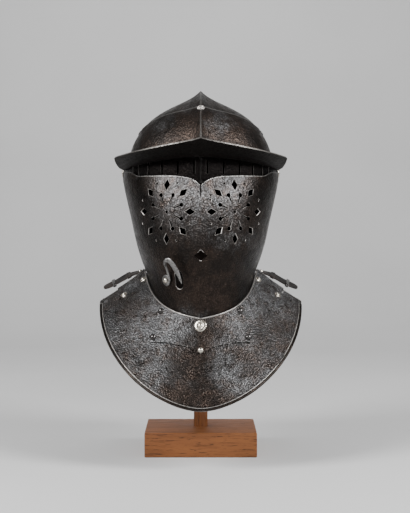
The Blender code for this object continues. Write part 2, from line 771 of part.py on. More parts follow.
# Columns: name, angle about the neck in degrees, share from rim to edge, radius, height, bright or not.
GORGET_RIVETS = (
    ("gorget_rivet_middle", 0, 0.09, 4.6 * MM, 2.6 * MM, True),
    ("gorget_rivet_point", 0, 0.36, 3.6 * MM, 3.0 * MM, True),
    ("gorget_rivet_neck", 82, 0.11, 3.6 * MM, 2.6 * MM, True),
    ("gorget_rivet_shoulder", 82, 0.53, 3.6 * MM, 2.6 * MM, True),
    ("gorget_rivet_upper", 42, 0.10, 3.6 * MM, 3.4 * MM, False),
    ("gorget_rivet_cusp", 39, 0.44, 3.8 * MM, 3.4 * MM, False),
)


def seated_rivet(name, point, normal, radius, height, material):
    profile = dome(radius, height, HEAD_RINGS)
    return turned(name, profile, HEAD_SIDES, point + normal * FIT, normal, material, parts)


def build_gorget_rivets():
    layer = COLLAR_GAP + PLATE_WALL
    for name, degrees, share, radius, height, lit in GORGET_RIVETS:
        for side, word in ((-1, "_left"), (1, "_right")):
            if not degrees and side > 0:
                continue
            angle = side * math.radians(degrees)
            point = gorget_point(angle, share, layer)
            normal = (gorget_point(angle, share, layer + PLATE_WALL) - point).normalized()
            full_name = name + (word if degrees else "")
            seated_rivet(full_name, point, normal, radius, height, bright if lit else russet)


def build_pivots():
    outer = SKULL_HALF_WIDTH + GUARD_LAYER
    inner = SKULL_HALF_WIDTH - SKULL_WALL - EYE_HOLLOW
    top, foot = outer + FIT, inner - FIT
    head = dome(PIVOT_HEAD_RADIUS, PIVOT_HEAD_HEIGHT, HEAD_RINGS)[:-1]
    profile = [(radius, top + height) for radius, height in head]
    profile += [(PIVOT_SHANK_RADIUS, top), (PIVOT_SHANK_RADIUS, foot)]
    profile += [(BURR_RADIUS, foot), (BURR_RADIUS, foot - BURR_HEIGHT), (0, foot - BURR_HEIGHT)]
    for side, word in ((-1, "left"), (1, "right")):
        turned(f"pivot_rivet_{word}", profile, PIVOT_SIDES, (0, 0, PIVOT_HEIGHT), (side, 0, 0), bright, parts)


def build_skull_fittings():
    for side, word in ((-1, "left"), (1, "right")):
        angle = side * math.asin(SIDE_RIVET_X / SKULL_HALF_WIDTH)
        point = crown_point(angle, SIDE_RIVET_TURN, 0)
        normal = normal_of(lambda first, second: crown_point(first, second, 0), angle, SIDE_RIVET_TURN)
        seated_rivet(f"side_rivet_{word}", point, normal, SIDE_RIVET_RADIUS, SIDE_RIVET_HEIGHT, bright)
    for name, z, radius, height, material in (
        ("latch_rivet", LATCH_RIVET_Z, LATCH_RIVET_RADIUS, LATCH_RIVET_HEIGHT, bright),
        ("latch_stud", LATCH_STUD_Z, LATCH_STUD_RADIUS, LATCH_STUD_HEIGHT, russet),
    ):
        point = nape_point(LATCH_ANGLE, z, 0)
        normal = normal_of(lambda first, second: nape_point(first, second, 0), LATCH_ANGLE, z)
        seated_rivet(name, point, normal, radius, height, material)


# Columns: share along the strap, then how far out from its inner end and how far down, as shares of
# STRAP_LENGTH.
STRAP_ROUTE = (
    (0.00, 0.00, 0.00),
    (0.35, 0.33, 0.13),
    (0.70, 0.62, 0.29),
    (1.00, 0.90, 0.42),
)


def strap_frame(share, side):
    row = table_row(STRAP_ROUTE, share)
    start = rear_gorget_point(side * math.radians(76), 0.08)
    lift = Vector((side * 0.45, 0, 0.9)) * (STRAP_THICKNESS + STRAP_LIFT)
    return start + lift + Vector((side * row[1], 0, -row[2])) * STRAP_LENGTH


def build_straps():
    for side, word in ((-1, "left"), (1, "right")):

        def place(across, along, side=side):
            end = max(0.0, (along - 0.86) / 0.14)
            width = STRAP_WIDTH * (1 - 0.55 * end**2)
            return strap_frame(along, side) + Vector((0, (across - 0.5) * width, 0))

        strap = sheet(f"strap_{word}", 3, 10, place, STRAP_THICKNESS, leather, parts)
        if side > 0:
            flip(strap)
        for name, share, radius, height in (
            ("strap_rivet", 0.14, STRAP_RIVET_RADIUS, STRAP_RIVET_HEIGHT),
            ("strap_stud", 0.66, STRAP_STUD_RADIUS, STRAP_STUD_HEIGHT),
        ):
            point = strap_frame(share, side)
            along = (strap_frame(share + 0.02, side) - point).normalized()
            normal = along.cross(Vector((0, side, 0))) * -1
            if normal.z < 0:
                normal = -normal
            seated_rivet(f"{name}_{word}", point, normal, radius, height, bright)


# Columns: share along the bar, then across, up and out from the rivet, as shares of HOOK_REACH.
HOOK_ROUTE = (
    (0.00, 0.215, 0.00, 0.080),
    (0.15, 0.290, 0.06, 0.085),
    (0.35, 0.330, 0.45, 0.180),
    (0.52, 0.430, 0.84, 0.340),
    (0.66, 0.620, 1.00, 0.400),
    (0.78, 0.840, 0.92, 0.350),
    (0.90, 1.060, 0.45, 0.230),
    (1.00, 1.230, -0.10, 0.180),
)


def hook_frame():
    centre, normal = guard_at(HOOK_X, HOOK_HEIGHT)
    right, up = tangent_frame(normal)
    return Matrix((
        (right.x, up.x, normal.x, centre.x),
        (right.y, up.y, normal.y, centre.y),
        (right.z, up.z, normal.z, centre.z),
        (0, 0, 0, 1),
    ))


def plate_disc(bm, low, high, radius, segments):
    made = bmesh.ops.create_cone(
        bm, cap_ends=True, segments=segments, radius1=radius, radius2=radius, depth=high - low
    )
    bmesh.ops.translate(bm, vec=(0, 0, (low + high) / 2), verts=made["verts"])


def build_hook():
    frame = hook_frame()
    curve = bpy.data.curves.new("hook_bar", "CURVE")
    curve.dimensions = "3D"
    curve.bevel_depth = HOOK_BAR_RADIUS
    curve.bevel_resolution = 1
    curve.use_fill_caps = True
    spline = curve.splines.new("POLY")
    spline.points.add(HOOK_BAR_POINTS - 1)
    for index, point in enumerate(spline.points):
        row = table_row(HOOK_ROUTE, index / (HOOK_BAR_POINTS - 1))
        point.co = (*(HOOK_REACH * value for value in row[1:]), 1)
    bar = bpy.data.objects.new("hook_bar", curve)
    cutters.objects.link(bar)
    graph = bpy.context.evaluated_depsgraph_get()
    mesh = bpy.data.meshes.new_from_object(bar.evaluated_get(graph))
    bpy.data.objects.remove(bar, do_unlink=True)
    mesh.name = "cheek_hook"
    bm = bmesh.new()
    bm.from_mesh(mesh)
    bmesh.ops.remove_doubles(bm, verts=bm.verts, dist=1e-5)
    bmesh.ops.recalc_face_normals(bm, faces=bm.faces)
    bm.to_mesh(mesh)
    bm.free()
    mesh.materials.clear()
    smooth(mesh)
    hook = link("cheek_hook", mesh, russet, parts)
    hook.matrix_world = frame
    low = HOOK_EYE_GAP
    high = low + HOOK_EYE_WALL
    eye = cutter("hook_eye", lambda bm: plate_disc(bm, low, high, HOOK_EYE_RADIUS, HOLE_SIDES), cutters)
    bore = HOOK_SHANK_RADIUS + FIT
    hole = cutter("hook_hole", lambda bm: plate_disc(bm, 0, 3 * high, bore, PIVOT_SIDES), cutters)
    eye.matrix_world = frame
    hole.matrix_world = frame
    boolean(hook, eye, "UNION")
    boolean(hook, hole, "DIFFERENCE")
    head = high + FIT
    cap = dome(HOOK_HEAD_RADIUS, HOOK_HEAD_HEIGHT, HEAD_RINGS)[:-1]
    profile = [(radius, head + height) for radius, height in cap]
    profile += [(HOOK_SHANK_RADIUS, head), (HOOK_SHANK_RADIUS, FIT), (0, FIT)]
    turned("hook_rivet", profile, HEAD_SIDES, frame.translation, frame.col[2].xyz, bright, parts)


def joint_empty(name, place, children):
    """An empty on a joint's axis that carries the pieces turning about it."""
    empty = bpy.data.objects.new(name, None)
    parts.objects.link(empty)
    empty.matrix_world = place
    for child in children:
        kept = child.matrix_basis.copy()
        child.parent = empty
        child.matrix_parent_inverse = place.inverted()
        child.matrix_basis = kept
    return empty


def build_joints():
    pivot = Matrix.Translation((0, 0, PIVOT_HEIGHT))
    pieces = {obj.name: obj for obj in parts.objects}
    hook_axis = joint_empty("hook_axis", hook_frame(), [pieces["cheek_hook"]])
    visor_axis = joint_empty("visor_axis", pivot, [pieces["visor"], pieces["visor_nub"]])
    guard = [obj for name, obj in pieces.items() if name.startswith(("face_guard", "gorget_", "hook_rivet"))]
    joint_empty("guard_axis", pivot, [*guard, hook_axis, visor_axis])


build_gorget()
build_gorget_rivets()
build_pivots()
build_skull_fittings()
build_straps()
build_hook()
build_joints()
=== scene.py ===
"""The looks of an armet on its wooden stand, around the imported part.

The plates repeat the form functions of the part's source on finer grids. All lengths are in metres.
"""

import math

import bmesh
import bpy
import numpy as np
from mathutils import Matrix, Vector, noise


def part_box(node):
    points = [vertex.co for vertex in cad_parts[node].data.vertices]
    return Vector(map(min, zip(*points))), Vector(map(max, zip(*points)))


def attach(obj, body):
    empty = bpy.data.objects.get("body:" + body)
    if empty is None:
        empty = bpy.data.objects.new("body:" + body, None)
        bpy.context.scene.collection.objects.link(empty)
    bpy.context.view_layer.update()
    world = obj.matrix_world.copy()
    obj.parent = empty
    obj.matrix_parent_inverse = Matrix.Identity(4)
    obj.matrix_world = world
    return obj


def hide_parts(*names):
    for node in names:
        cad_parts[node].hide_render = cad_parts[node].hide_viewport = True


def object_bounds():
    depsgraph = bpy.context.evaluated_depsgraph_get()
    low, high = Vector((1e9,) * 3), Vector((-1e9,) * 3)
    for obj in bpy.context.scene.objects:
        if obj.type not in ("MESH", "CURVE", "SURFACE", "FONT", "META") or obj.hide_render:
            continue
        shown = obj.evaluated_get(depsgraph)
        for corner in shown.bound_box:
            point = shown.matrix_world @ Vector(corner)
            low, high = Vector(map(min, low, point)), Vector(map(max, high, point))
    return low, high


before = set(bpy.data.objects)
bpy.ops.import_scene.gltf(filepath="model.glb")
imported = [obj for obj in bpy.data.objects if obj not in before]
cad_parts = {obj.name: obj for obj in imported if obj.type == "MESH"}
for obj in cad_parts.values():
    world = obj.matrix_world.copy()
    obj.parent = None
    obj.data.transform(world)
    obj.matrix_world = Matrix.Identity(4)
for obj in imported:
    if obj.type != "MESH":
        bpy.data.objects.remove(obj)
cad_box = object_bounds()
CAD_LOW, CAD_HIGH = (Vector(corner) for corner in cad_box)

MM = 0.001

# Stand
BLOCK_WIDTH = 150 * MM
BLOCK_DEPTH = 120 * MM
BLOCK_HEIGHT = 33 * MM
POST_RADIUS = 9.5 * MM
POST_HEAD_RADIUS = 24 * MM
POST_HEAD_HEIGHT = 30 * MM

# Helmet form
PIVOT_HEIGHT = 380 * MM
SKULL_HALF_WIDTH = 99.5 * MM
SKULL_RADIUS = 94 * MM
SKULL_WALL = 2.0 * MM
COMB_HEIGHT = 18 * MM
COMB_SPREAD = 18 * MM
FORM_POWER = 2.1
NECK_DROP = 135 * MM
SKULL_BROW_ANGLE = math.radians(24)
PLATE_WALL = 1.8 * MM
VISOR_LAYER = 3.8 * MM
GUARD_LAYER = 6.2 * MM
FIT = 0.3 * MM
SPLIT_GAP = 1.2 * MM

# Visor and peak
VISOR_FOOT_ANGLE = math.radians(-8)
VISOR_TOP_ANGLE = math.radians(48)
VISOR_TOP_RISE = math.radians(15)
BROW_HALF_WIDTH = 79 * MM
ARM_TOP = 23 * MM
PEAK_HALF_WIDTH = 123 * MM
PEAK_REACH = 158 * MM
PEAK_EDGE_HEIGHT = 37.5 * MM
PEAK_SIDE_FALL = 20.5 * MM
PEAK_CORNER_FALL = 10 * MM
PEAK_CORNER_INSET = 12 * MM
PEAK_CORNER_ANGLE = math.radians(64)
PEAK_ROOT_HEIGHT = 19 * MM
PEAK_ROOT_FALL = 14 * MM
PEAK_END_ANGLE = math.radians(76)
SIGHT_SLIT_WIDTH = 2.4 * MM
SIGHT_SLIT_HEIGHT = 17 * MM
SIGHT_SLIT_MIDDLE = 4 * MM
SIGHT_SLIT_ANGLES = (4.5, 17, 30, 42, 52, 60)

# Face guard
GUARD_TOP_DROP = 6 * MM
NOTCH_DEPTH = 14 * MM
NOTCH_SPREAD = 11 * MM
NOTCH_SLIT = 1.6 * MM
NOTCH_SLIT_DEPTH = 28 * MM
RIM_FRONT_HEIGHT = 190 * MM
RIM_SLOPE = 0.54
GUARD_TUCK = 7 * MM
ROSETTE_X = 44.2 * MM
ROSETTE_HEIGHT = 327 * MM
ROSETTE_RADIUS = 35 * MM
ROSETTE_LEAVES = 8
LEAF_LENGTH = 14 * MM
LEAF_WIDTH = 8.6 * MM
KEY_RADIUS = 2.7 * MM
KEY_SLOT = 1.2 * MM
MOUTH_HOLE_HEIGHT = 271 * MM
MOUTH_HOLE_WIDTH = 18 * MM
MOUTH_HOLE_TALL = 13.5 * MM
CATCH_SLOT_X = -28 * MM
CATCH_SLOT_HEIGHT = 239 * MM
CATCH_SLOT_WIDTH = 12 * MM
CATCH_SLOT_TALL = 24 * MM
CHAMFER = 0.8 * MM

# Cheek hook
HOOK_X = -44 * MM
HOOK_HEIGHT = 238 * MM
HOOK_REACH = 29 * MM

# Gorget
GORGET_HALF_WIDTH = 137 * MM
GORGET_REACH = 168 * MM
GORGET_SHOULDER_Y = -15 * MM
GORGET_FRONT_FOOT = 78 * MM
GORGET_SHOULDER_HEIGHT = 206 * MM
GORGET_FLARE = 1.15
EDGE_RISE = 0.85
REAR_REACH = 140 * MM
REAR_FOOT = 165 * MM
REAR_RIM_HEIGHT = 262 * MM
COLLAR_GAP = 0.4 * MM
REAR_GAP = 0.8 * MM
BEAD_HALF = 0.9 * MM
BEAD_HEIGHT = 0.6 * MM
ROLL_RADIUS = 1.8 * MM

# Unevenness of the hammered plates
FIELD_SEED = 11

# Straps
STRAP_LENGTH = 66 * MM
STRAP_WIDTH = 18 * MM
STRAP_THICKNESS = 2.6 * MM
STRAP_LIFT = 0.7 * MM


def table_row(rows, share):
    """The row of a table at this share, with a smooth curve through the rows."""
    table = np.array(rows, float)
    keys = table[:, 0]
    share = min(max(share, keys[0]), keys[-1])
    low = min(int(np.searchsorted(keys, share, side="right")) - 1, len(keys) - 2)
    step = keys[low + 1] - keys[low]
    part = (share - keys[low]) / step
    before = table[max(low - 1, 0)]
    after = table[min(low + 2, len(keys) - 1)]
    start, end = table[low], table[low + 1]
    slope_start = (end - before) / max(end[0] - before[0], 1e-9) * step
    slope_end = (after - start) / max(after[0] - start[0], 1e-9) * step
    return (
        start * (2 * part**3 - 3 * part**2 + 1)
        + slope_start * (part**3 - 2 * part**2 + part)
        + end * (3 * part**2 - 2 * part**3)
        + slope_end * (part**3 - part**2)
    )


# Columns: drop below the pivots as a share of NECK_DROP, then width, front depth, rear depth, front comb
# and rear comb as shares of the main sizes.
HEAD_SECTIONS = (
    (0.00, 1.000, 1.000, 1.000, 1.00, 1.00),
    (0.12, 0.992, 1.050, 1.020, 0.80, 0.85),
    (0.28, 0.948, 1.125, 1.060, 0.56, 0.60),
    (0.46, 0.892, 1.155, 1.060, 0.47, 0.35),
    (0.68, 0.828, 1.165, 0.980, 0.42, 0.15),
    (0.85, 0.762, 1.150, 0.880, 0.38, 0.05),
    (0.96, 0.706, 1.130, 0.830, 0.36, 0.00),
    (1.04, 0.666, 1.110, 0.810, 0.35, 0.00),
    (1.20, 0.650, 1.070, 0.800, 0.35, 0.00),
    (1.45, 0.650, 1.010, 0.800, 0.35, 0.00),
)


def round_share(angle):
    side = min(abs(math.sin(angle)), 1.0)
    return (1 - side**FORM_POWER) ** (1 / FORM_POWER)


def comb_share(x, angle):
    return math.exp(-abs(x) / COMB_SPREAD) * max(math.cos(angle), 0.0)


def crown_point(angle, turn, layer):
    """A point of the upper form: angle runs from ear to ear, turn goes about the pivot axis, 0 forward."""
    x = (SKULL_HALF_WIDTH + layer) * math.sin(angle)
    radius = (SKULL_RADIUS + layer) * round_share(angle) + COMB_HEIGHT * comb_share(x, angle)
    return Vector((x, -radius * math.cos(turn), PIVOT_HEIGHT + radius * math.sin(turn)))


def face_point(angle, height, layer):
    """A point of the front form below the pivots."""
    row = table_row(HEAD_SECTIONS, (PIVOT_HEIGHT - height) / NECK_DROP)
    x = (SKULL_HALF_WIDTH * row[1] + layer) * math.sin(angle)
    depth = (SKULL_RADIUS * row[2] + layer) * round_share(angle)
    depth += COMB_HEIGHT * row[4] * comb_share(x, angle)
    return Vector((x, -SPLIT_GAP / 2 - depth, height))


def nape_point(angle, height, layer):
    """A point of the rear form below the pivots."""
    row = table_row(HEAD_SECTIONS, (PIVOT_HEIGHT - height) / NECK_DROP)
    x = (SKULL_HALF_WIDTH * row[1] + layer) * math.sin(angle)
    depth = (SKULL_RADIUS * row[3] + layer) * round_share(angle)
    depth += COMB_HEIGHT * row[5] * comb_share(x, angle)
    gap = SPLIT_GAP / 2 * min((PIVOT_HEIGHT - height) / (NECK_DROP * HEAD_SECTIONS[1][0]), 1)
    return Vector((x, gap + depth, height))


def rim_point(angle, tuck, layer):
    """A point of the face guard's form on the slanted plane of the collar's rim, or tuck below it."""
    height = RIM_FRONT_HEIGHT
    front = face_point(0, RIM_FRONT_HEIGHT, layer).y
    for _ in range(12):
        y = face_point(angle, height, layer).y
        height = RIM_FRONT_HEIGHT + RIM_SLOPE * (y - front) - tuck
    return face_point(angle, height, layer)


def gorget_edge(angle):
    x = GORGET_HALF_WIDTH * math.sin(angle)
    y = GORGET_SHOULDER_Y - (GORGET_REACH + GORGET_SHOULDER_Y) * math.cos(angle)
    rise = (1 - math.cos(angle)) ** EDGE_RISE
    return Vector((x, y, GORGET_FRONT_FOOT + (GORGET_SHOULDER_HEIGHT - GORGET_FRONT_FOOT) * rise))


def flared(start, end, share):
    out = share**GORGET_FLARE
    return Vector((
        start.x + (end.x - start.x) * out,
        start.y + (end.y - start.y) * out,
        start.z + (end.z - start.z) * share,
    ))


neck_rims = {}


def neck_rim(angle):
    key = round(angle, 7)
    if key not in neck_rims:
        neck_rims[key] = rim_point(angle, 0, GUARD_LAYER + COLLAR_GAP)
    return neck_rims[key]


def gorget_point(angle, share, layer):
    """A point of the front gorget, share 0 at the neck rim and 1 at the outer edge."""
    side = 1e-3
    here = flared(neck_rim(angle), gorget_edge(angle), share)
    if not layer:
        return here
    along = flared(neck_rim(angle), gorget_edge(angle), share + side) - here
    shift = angle + side if angle < 0 else angle - side
    other = flared(neck_rim(shift), gorget_edge(shift), share) - here
    normal = along.cross(other).normalized()
    if normal.dot(Vector((here.x, here.y, 0.02))) < 0:
        normal = -normal
    return here + normal * layer


def rear_gorget_point(angle, share):
    """A point of the rear gorget, angle 0 at the back."""
    slope = (REAR_RIM_HEIGHT - (PIVOT_HEIGHT - NECK_DROP)) / SKULL_RADIUS
    height = PIVOT_HEIGHT - NECK_DROP + slope * SKULL_RADIUS * math.cos(angle)
    neck = nape_point(angle, height, REAR_GAP + PLATE_WALL)
    shoulder_y = GORGET_SHOULDER_Y + 2 * MM
    rise = (1 - math.cos(angle)) ** EDGE_RISE
    edge = Vector((
        GORGET_HALF_WIDTH * 0.985 * math.sin(angle),
        shoulder_y + (REAR_REACH - shoulder_y) * math.cos(angle),
        REAR_FOOT + (GORGET_SHOULDER_HEIGHT - REAR_FOOT) * rise,
    ))
    return flared(neck, edge, share)


# Materials


class Nodes:
    """A small helper that adds nodes to a material and links them."""

    def __init__(self, name):
        self.material = bpy.data.materials.new(name)
        self.material.use_nodes = True
        self.tree = self.material.node_tree
        self.shader = self.tree.nodes["Principled BSDF"]
        self.place = self.add("ShaderNodeTexCoord").outputs["Object"]

    def add(self, kind, values=(), **settings):
        node = self.tree.nodes.new(kind)
        for key, value in settings.items():
            setattr(node, key, value)
        for key, value in dict(values).items():
            if isinstance(value, bpy.types.NodeSocket):
                self.tree.links.new(value, node.inputs[key])
            else:
                node.inputs[key].default_value = value
        return node

    def noise(self, scale, detail=4.0, rough=0.55, stretch=None, distortion=0.0):
        place = self.place
        if stretch:
            place = self.add("ShaderNodeMapping", {"Vector": place, "Scale": stretch}).outputs[0]
        values = {"Vector": place, "Scale": scale, "Detail": detail, "Roughness": rough, "Distortion": distortion}
        return self.add("ShaderNodeTexNoise", values).outputs["Fac"]

    def cells(self, scale, smoothness=0.6):
        values = {"Vector": self.place, "Scale": scale, "Smoothness": smoothness}
        return self.add("ShaderNodeTexVoronoi", values, feature="SMOOTH_F1").outputs["Distance"]

    def span(self, value, low, high, out_low=0.0, out_high=1.0):
        values = {"Value": value, "From Min": low, "From Max": high, "To Min": out_low, "To Max": out_high}
        return self.add("ShaderNodeMapRange", values, interpolation_type="SMOOTHSTEP").outputs[0]

    def math(self, operation, first, second=0.0):
        node = self.add("ShaderNodeMath", {0: first, 1: second}, operation=operation)
        return node.outputs[0]

    def mix(self, share, first, second):
        node = self.add("ShaderNodeMix", data_type="RGBA")
        for index, value in ((0, share), (6, first), (7, second)):
            if isinstance(value, bpy.types.NodeSocket):
                self.tree.links.new(value, node.inputs[index])
            elif index:
                node.inputs[index].default_value = (*value, 1)
            else:
                node.inputs[index].default_value = value
        return node.outputs[2]

    def set(self, name, value):
        if isinstance(value, bpy.types.NodeSocket):
            self.tree.links.new(value, self.shader.inputs[name])
        else:
            self.shader.inputs[name].default_value = value

    def bump(self, height, strength, distance, below=None):
        values = {"Height": height, "Strength": strength, "Distance": distance}
        if below:
            values["Normal"] = below
        return self.add("ShaderNodeBump", values).outputs[0]


BROWN = (0.040, 0.028, 0.022)
DARK = (0.014, 0.012, 0.011)
GREY = (0.152, 0.154, 0.158)
BRIGHT = (0.44, 0.43, 0.41)


def steel(name, silver=0.5, grain=330.0, pits=0.5, rough=0.42, place=None, relief=0.9, pocked=0.75):
    """Old russet steel: brown and dark patina, worn to grey in patches, with a pitted skin."""
    n = Nodes(name)
    patches = n.noise(11, 5, 0.62)
    mottle = n.noise(95, 8, 0.72)
    fine = n.noise(grain * 2.6, 5, 0.65)
    skin = n.cells(grain)
    lumps = n.noise(grain * 0.42, 3, 0.5)
    base = n.mix(n.span(n.noise(24, 6, 0.7), 0.36, 0.64), BROWN, DARK)
    worn = n.span(patches, 0.60 - 0.25 * silver, 0.78 - 0.25 * silver)
    axes = n.add("ShaderNodeSeparateXYZ", {0: n.place})
    side = n.math("ABSOLUTE", axes.outputs[0])
    if place == "guard":
        upper = n.math("MULTIPLY", n.span(side, 0.035, 0.078, 1.0, 0.0), n.span(axes.outputs[2], 0.275, 0.350))
        upper = n.math("MULTIPLY", upper, n.span(n.noise(30, 6, 0.7), 0.34, 0.58, 0.45, 1.0))
        worn = n.math("MAXIMUM", n.math("MULTIPLY", worn, 0.8), upper)
    # On the gorget the grey is kept to the sides, wavering with the patch noise, and the middle stays dark.
    if place == "gorget":
        wander = n.math("ADD", side, n.math("MULTIPLY", n.math("SUBTRACT", patches, 0.5), 0.12))
        worn = n.math("MULTIPLY", n.span(wander, 0.012, 0.055), n.span(patches, 0.40, 0.60, 0.25, 1.0))
    worn = n.math("MULTIPLY", worn, n.span(mottle, 0.36, 0.62, 0.15, 1.0))
    colour = n.mix(worn, base, GREY)
    specks = n.math("MULTIPLY", n.span(fine, 0.62, 0.74), 0.35 + 0.5 * silver)
    colour = n.mix(specks, colour, BRIGHT)
    holes = n.span(n.noise(grain * 0.8, 2, 0.5), 0.30, 0.40, 1.0, 0.0)
    colour = n.mix(n.math("MULTIPLY", holes, 0.75), colour, (0.012, 0.009, 0.008))
    pocks = n.math("MULTIPLY", n.span(skin, 0.30, 0.52), n.span(mottle, 0.30, 0.60, 0.25, pocked))
    colour = n.mix(pocks, colour, (0.010, 0.008, 0.007))
    edge = n.span(n.add("ShaderNodeNewGeometry").outputs["Pointiness"], 0.53, 0.62)
    colour = n.mix(n.math("MULTIPLY", edge, 0.7), colour, BRIGHT)
    n.set("Base Color", colour)
    n.set("Metallic", 0.92)
    n.set("Roughness", n.span(mottle, 0.3, 0.7, rough - 0.06, rough + 0.18))
    # Painted shadow: low on the visor, near its middle and below the peak's root, the colour is taken almost to black
    # for the peak's shadow on the sight band.
    if place == "visor":
        away = n.add("ShaderNodeVectorMath", {0: n.place, 1: (1, 1, 0)}, operation="MULTIPLY").outputs[0]
        reach = n.add("ShaderNodeVectorMath", {0: away}, operation="LENGTH").outputs["Value"]
        under = n.math("MULTIPLY", n.span(reach, 0.118, 0.124, 1.0, 0.0), n.span(axes.outputs[2], 0.400, 0.408, 1.0, 0.0))
        colour = n.mix(n.math("MULTIPLY", under, 0.85), colour, (0.006, 0.005, 0.005))
        n.set("Base Color", colour)
    height = n.math("ADD", n.math("MULTIPLY", skin, 0.7), n.math("MULTIPLY", lumps, relief))
    height = n.math("SUBTRACT", height, n.math("MULTIPLY", holes, 0.45))
    n.set("Normal", n.bump(fine, 0.35, 0.0004, n.bump(height, pits, 0.0011)))
    return n.material


def polished(name, colour, dirt, rough):
    """Worn bright metal with grime in its hollows."""
    n = Nodes(name)
    shade = n.noise(300, 4, 0.6)
    marks = n.noise(1900, 3, 0.6)
    tint = n.mix(n.span(shade, 0.28, 0.52), dirt, colour)
    tint = n.mix(n.span(marks, 0.62, 0.75, 0.0, 0.5), tint, dirt)
    n.set("Base Color", tint)
    n.set("Metallic", 0.95)
    n.set("Roughness", n.span(shade, 0.3, 0.7, rough + 0.12, rough - 0.04))
    n.set("Normal", n.bump(marks, 0.10, 0.0002))
    return n.material


def wood(name, stretch):
    """Reddish close-grained wood under a thin worn finish."""
    n = Nodes(name)
    grain = n.noise(70, 7, 0.70, stretch, 0.4)
    fibre = n.noise(420, 5, 0.72, stretch)
    pores = n.noise(520, 2, 0.5, tuple(min(value * 1.6, 1.0) for value in stretch))
    broad = n.noise(9, 3, 0.5, tuple(min(value * 2.5, 1.0) for value in stretch))
    colour = n.mix(n.span(grain, 0.32, 0.68), (0.190, 0.066, 0.019), (0.105, 0.034, 0.010))
    colour = n.mix(n.span(broad, 0.35, 0.7, 0.0, 0.55), colour, (0.250, 0.096, 0.030))
    colour = n.mix(n.span(fibre, 0.50, 0.68, 0.0, 0.75), colour, (0.060, 0.019, 0.007))
    colour = n.mix(n.span(pores, 0.60, 0.68, 0.0, 0.8), colour, (0.030, 0.010, 0.004))
    # Painted shade: from about 0.11 m up the wood is taken almost to black, for the shade on the post under the
    # gorget and inside the helmet.
    height = n.add("ShaderNodeSeparateXYZ", {0: n.place}).outputs[2]
    colour = n.mix(n.span(height, 0.11, 0.20, 0.0, 0.93), colour, (0.006, 0.004, 0.003))
    n.set("Base Color", colour)
    n.set("Roughness", n.span(fibre, 0.3, 0.7, 0.50, 0.68))
    n.set("Specular IOR Level", 0.30)
    n.set("Normal", n.bump(fibre, 0.25, 0.0004, n.bump(pores, 0.15, 0.0003)))
    return n.material


def leather(name):
    """Old dark leather, creased and rubbed brown on its high places."""
    n = Nodes(name)
    creases = n.cells(310, 0.3)
    rub = n.noise(60, 6, 0.65)
    colour = n.mix(n.span(rub, 0.42, 0.68), (0.005, 0.004, 0.004), (0.016, 0.010, 0.007))
    edge = n.span(n.add("ShaderNodeNewGeometry").outputs["Pointiness"], 0.52, 0.60)
    colour = n.mix(n.math("MULTIPLY", edge, 0.6), colour, (0.070, 0.040, 0.027))
    n.set("Base Color", colour)
    n.set("Roughness", n.span(rub, 0.3, 0.7, 0.72, 0.50))
    n.set("Specular IOR Level", 0.30)
    n.set("Normal", n.bump(creases, 0.5, 0.0006, n.bump(n.noise(140, 5, 0.6), 0.4, 0.0008)))
    return n.material


skull_steel = steel("skull_steel", 0.20, 420, 0.45, 0.38)
visor_steel = steel("visor_steel", 0.26, 420, 0.45, 0.36, place="visor")
guard_steel = steel("guard_steel", 0.24, 460, 0.50, 0.32, place="guard")
gorget_steel = steel("gorget_steel", 0.70, 560, 1.00, 0.29, place="gorget", relief=0.30, pocked=0.6)
collar_steel = steel("collar_steel", 0.70, 560, 1.00, 0.29, place="gorget", relief=0.30, pocked=0.6)
hook_steel = polished("hook_steel", (0.22, 0.215, 0.21), (0.040, 0.035, 0.032), 0.36)
# The plates' inner sides are coloured near black as painted shade, so the peak's underside and the insides of the
# plates stay dark.
inner_shaded_steel = polished("inner_shaded_steel", (0.014, 0.012, 0.011), (0.006, 0.005, 0.005), 0.60)
rim_steel = steel("rim_steel", 0.05, 600, 0.20, 0.26)
worn_edge = polished("worn_edge", (0.30, 0.285, 0.27), (0.095, 0.085, 0.076), 0.40)
peak_rim = polished("peak_rim", (0.135, 0.128, 0.12), (0.050, 0.044, 0.040), 0.46)
chamfer_metal = polished("chamfer_metal", (0.42, 0.40, 0.38), (0.16, 0.145, 0.13), 0.44)
bright_metal = polished("bright_metal", (0.62, 0.58, 0.51), (0.26, 0.22, 0.17), 0.20)
dark_metal = polished("dark_metal", (0.080, 0.076, 0.074), (0.040, 0.036, 0.034), 0.16)
strap_leather = leather("strap_leather")
block_wood = wood("block_wood", (0.07, 1.0, 1.0))
post_wood = wood("post_wood", (1.0, 1.0, 0.07))


# Mesh making


def add_object(name, mesh, materials):
    obj = bpy.data.objects.new(name, mesh)
    bpy.context.scene.collection.objects.link(obj)
    for material in materials:
        mesh.materials.append(material)
    return obj


def filled(name, fill, materials):
    """An object whose mesh is filled by a function of its bmesh."""
    mesh = bpy.data.meshes.new(name)
    bm = bmesh.new()
    fill(bm)
    bm.to_mesh(mesh)
    bm.free()
    return add_object(name, mesh, materials)


def surface(bm, columns, rows, place, inside):
    """A grid placed by a function of two shares, its normals away from the inside point."""
    made = bmesh.ops.create_grid(bm, x_segments=columns, y_segments=rows, size=0.5)
    for vert in made["verts"]:
        vert.co = place(vert.co.x + 0.5, vert.co.y + 0.5)
    bmesh.ops.remove_doubles(bm, verts=bm.verts, dist=1e-6)
    bm.normal_update()
    turned_out = sum(face.normal.dot(face.calc_center_median() - inside) * face.calc_area() for face in bm.faces)
    if turned_out < 0:
        bmesh.ops.reverse_faces(bm, faces=bm.faces)


def plate(name, columns, rows, place, wall, materials, inside):
    """A curved plate of even thickness. Its rim takes the second material."""
    obj = filled(name, lambda bm: surface(bm, columns, rows, place, inside), materials)
    solid = obj.modifiers.new("wall", "SOLIDIFY")
    solid.thickness = wall
    solid.offset = -1
    solid.material_offset_rim = 1
    solid.material_offset = 2
    return obj


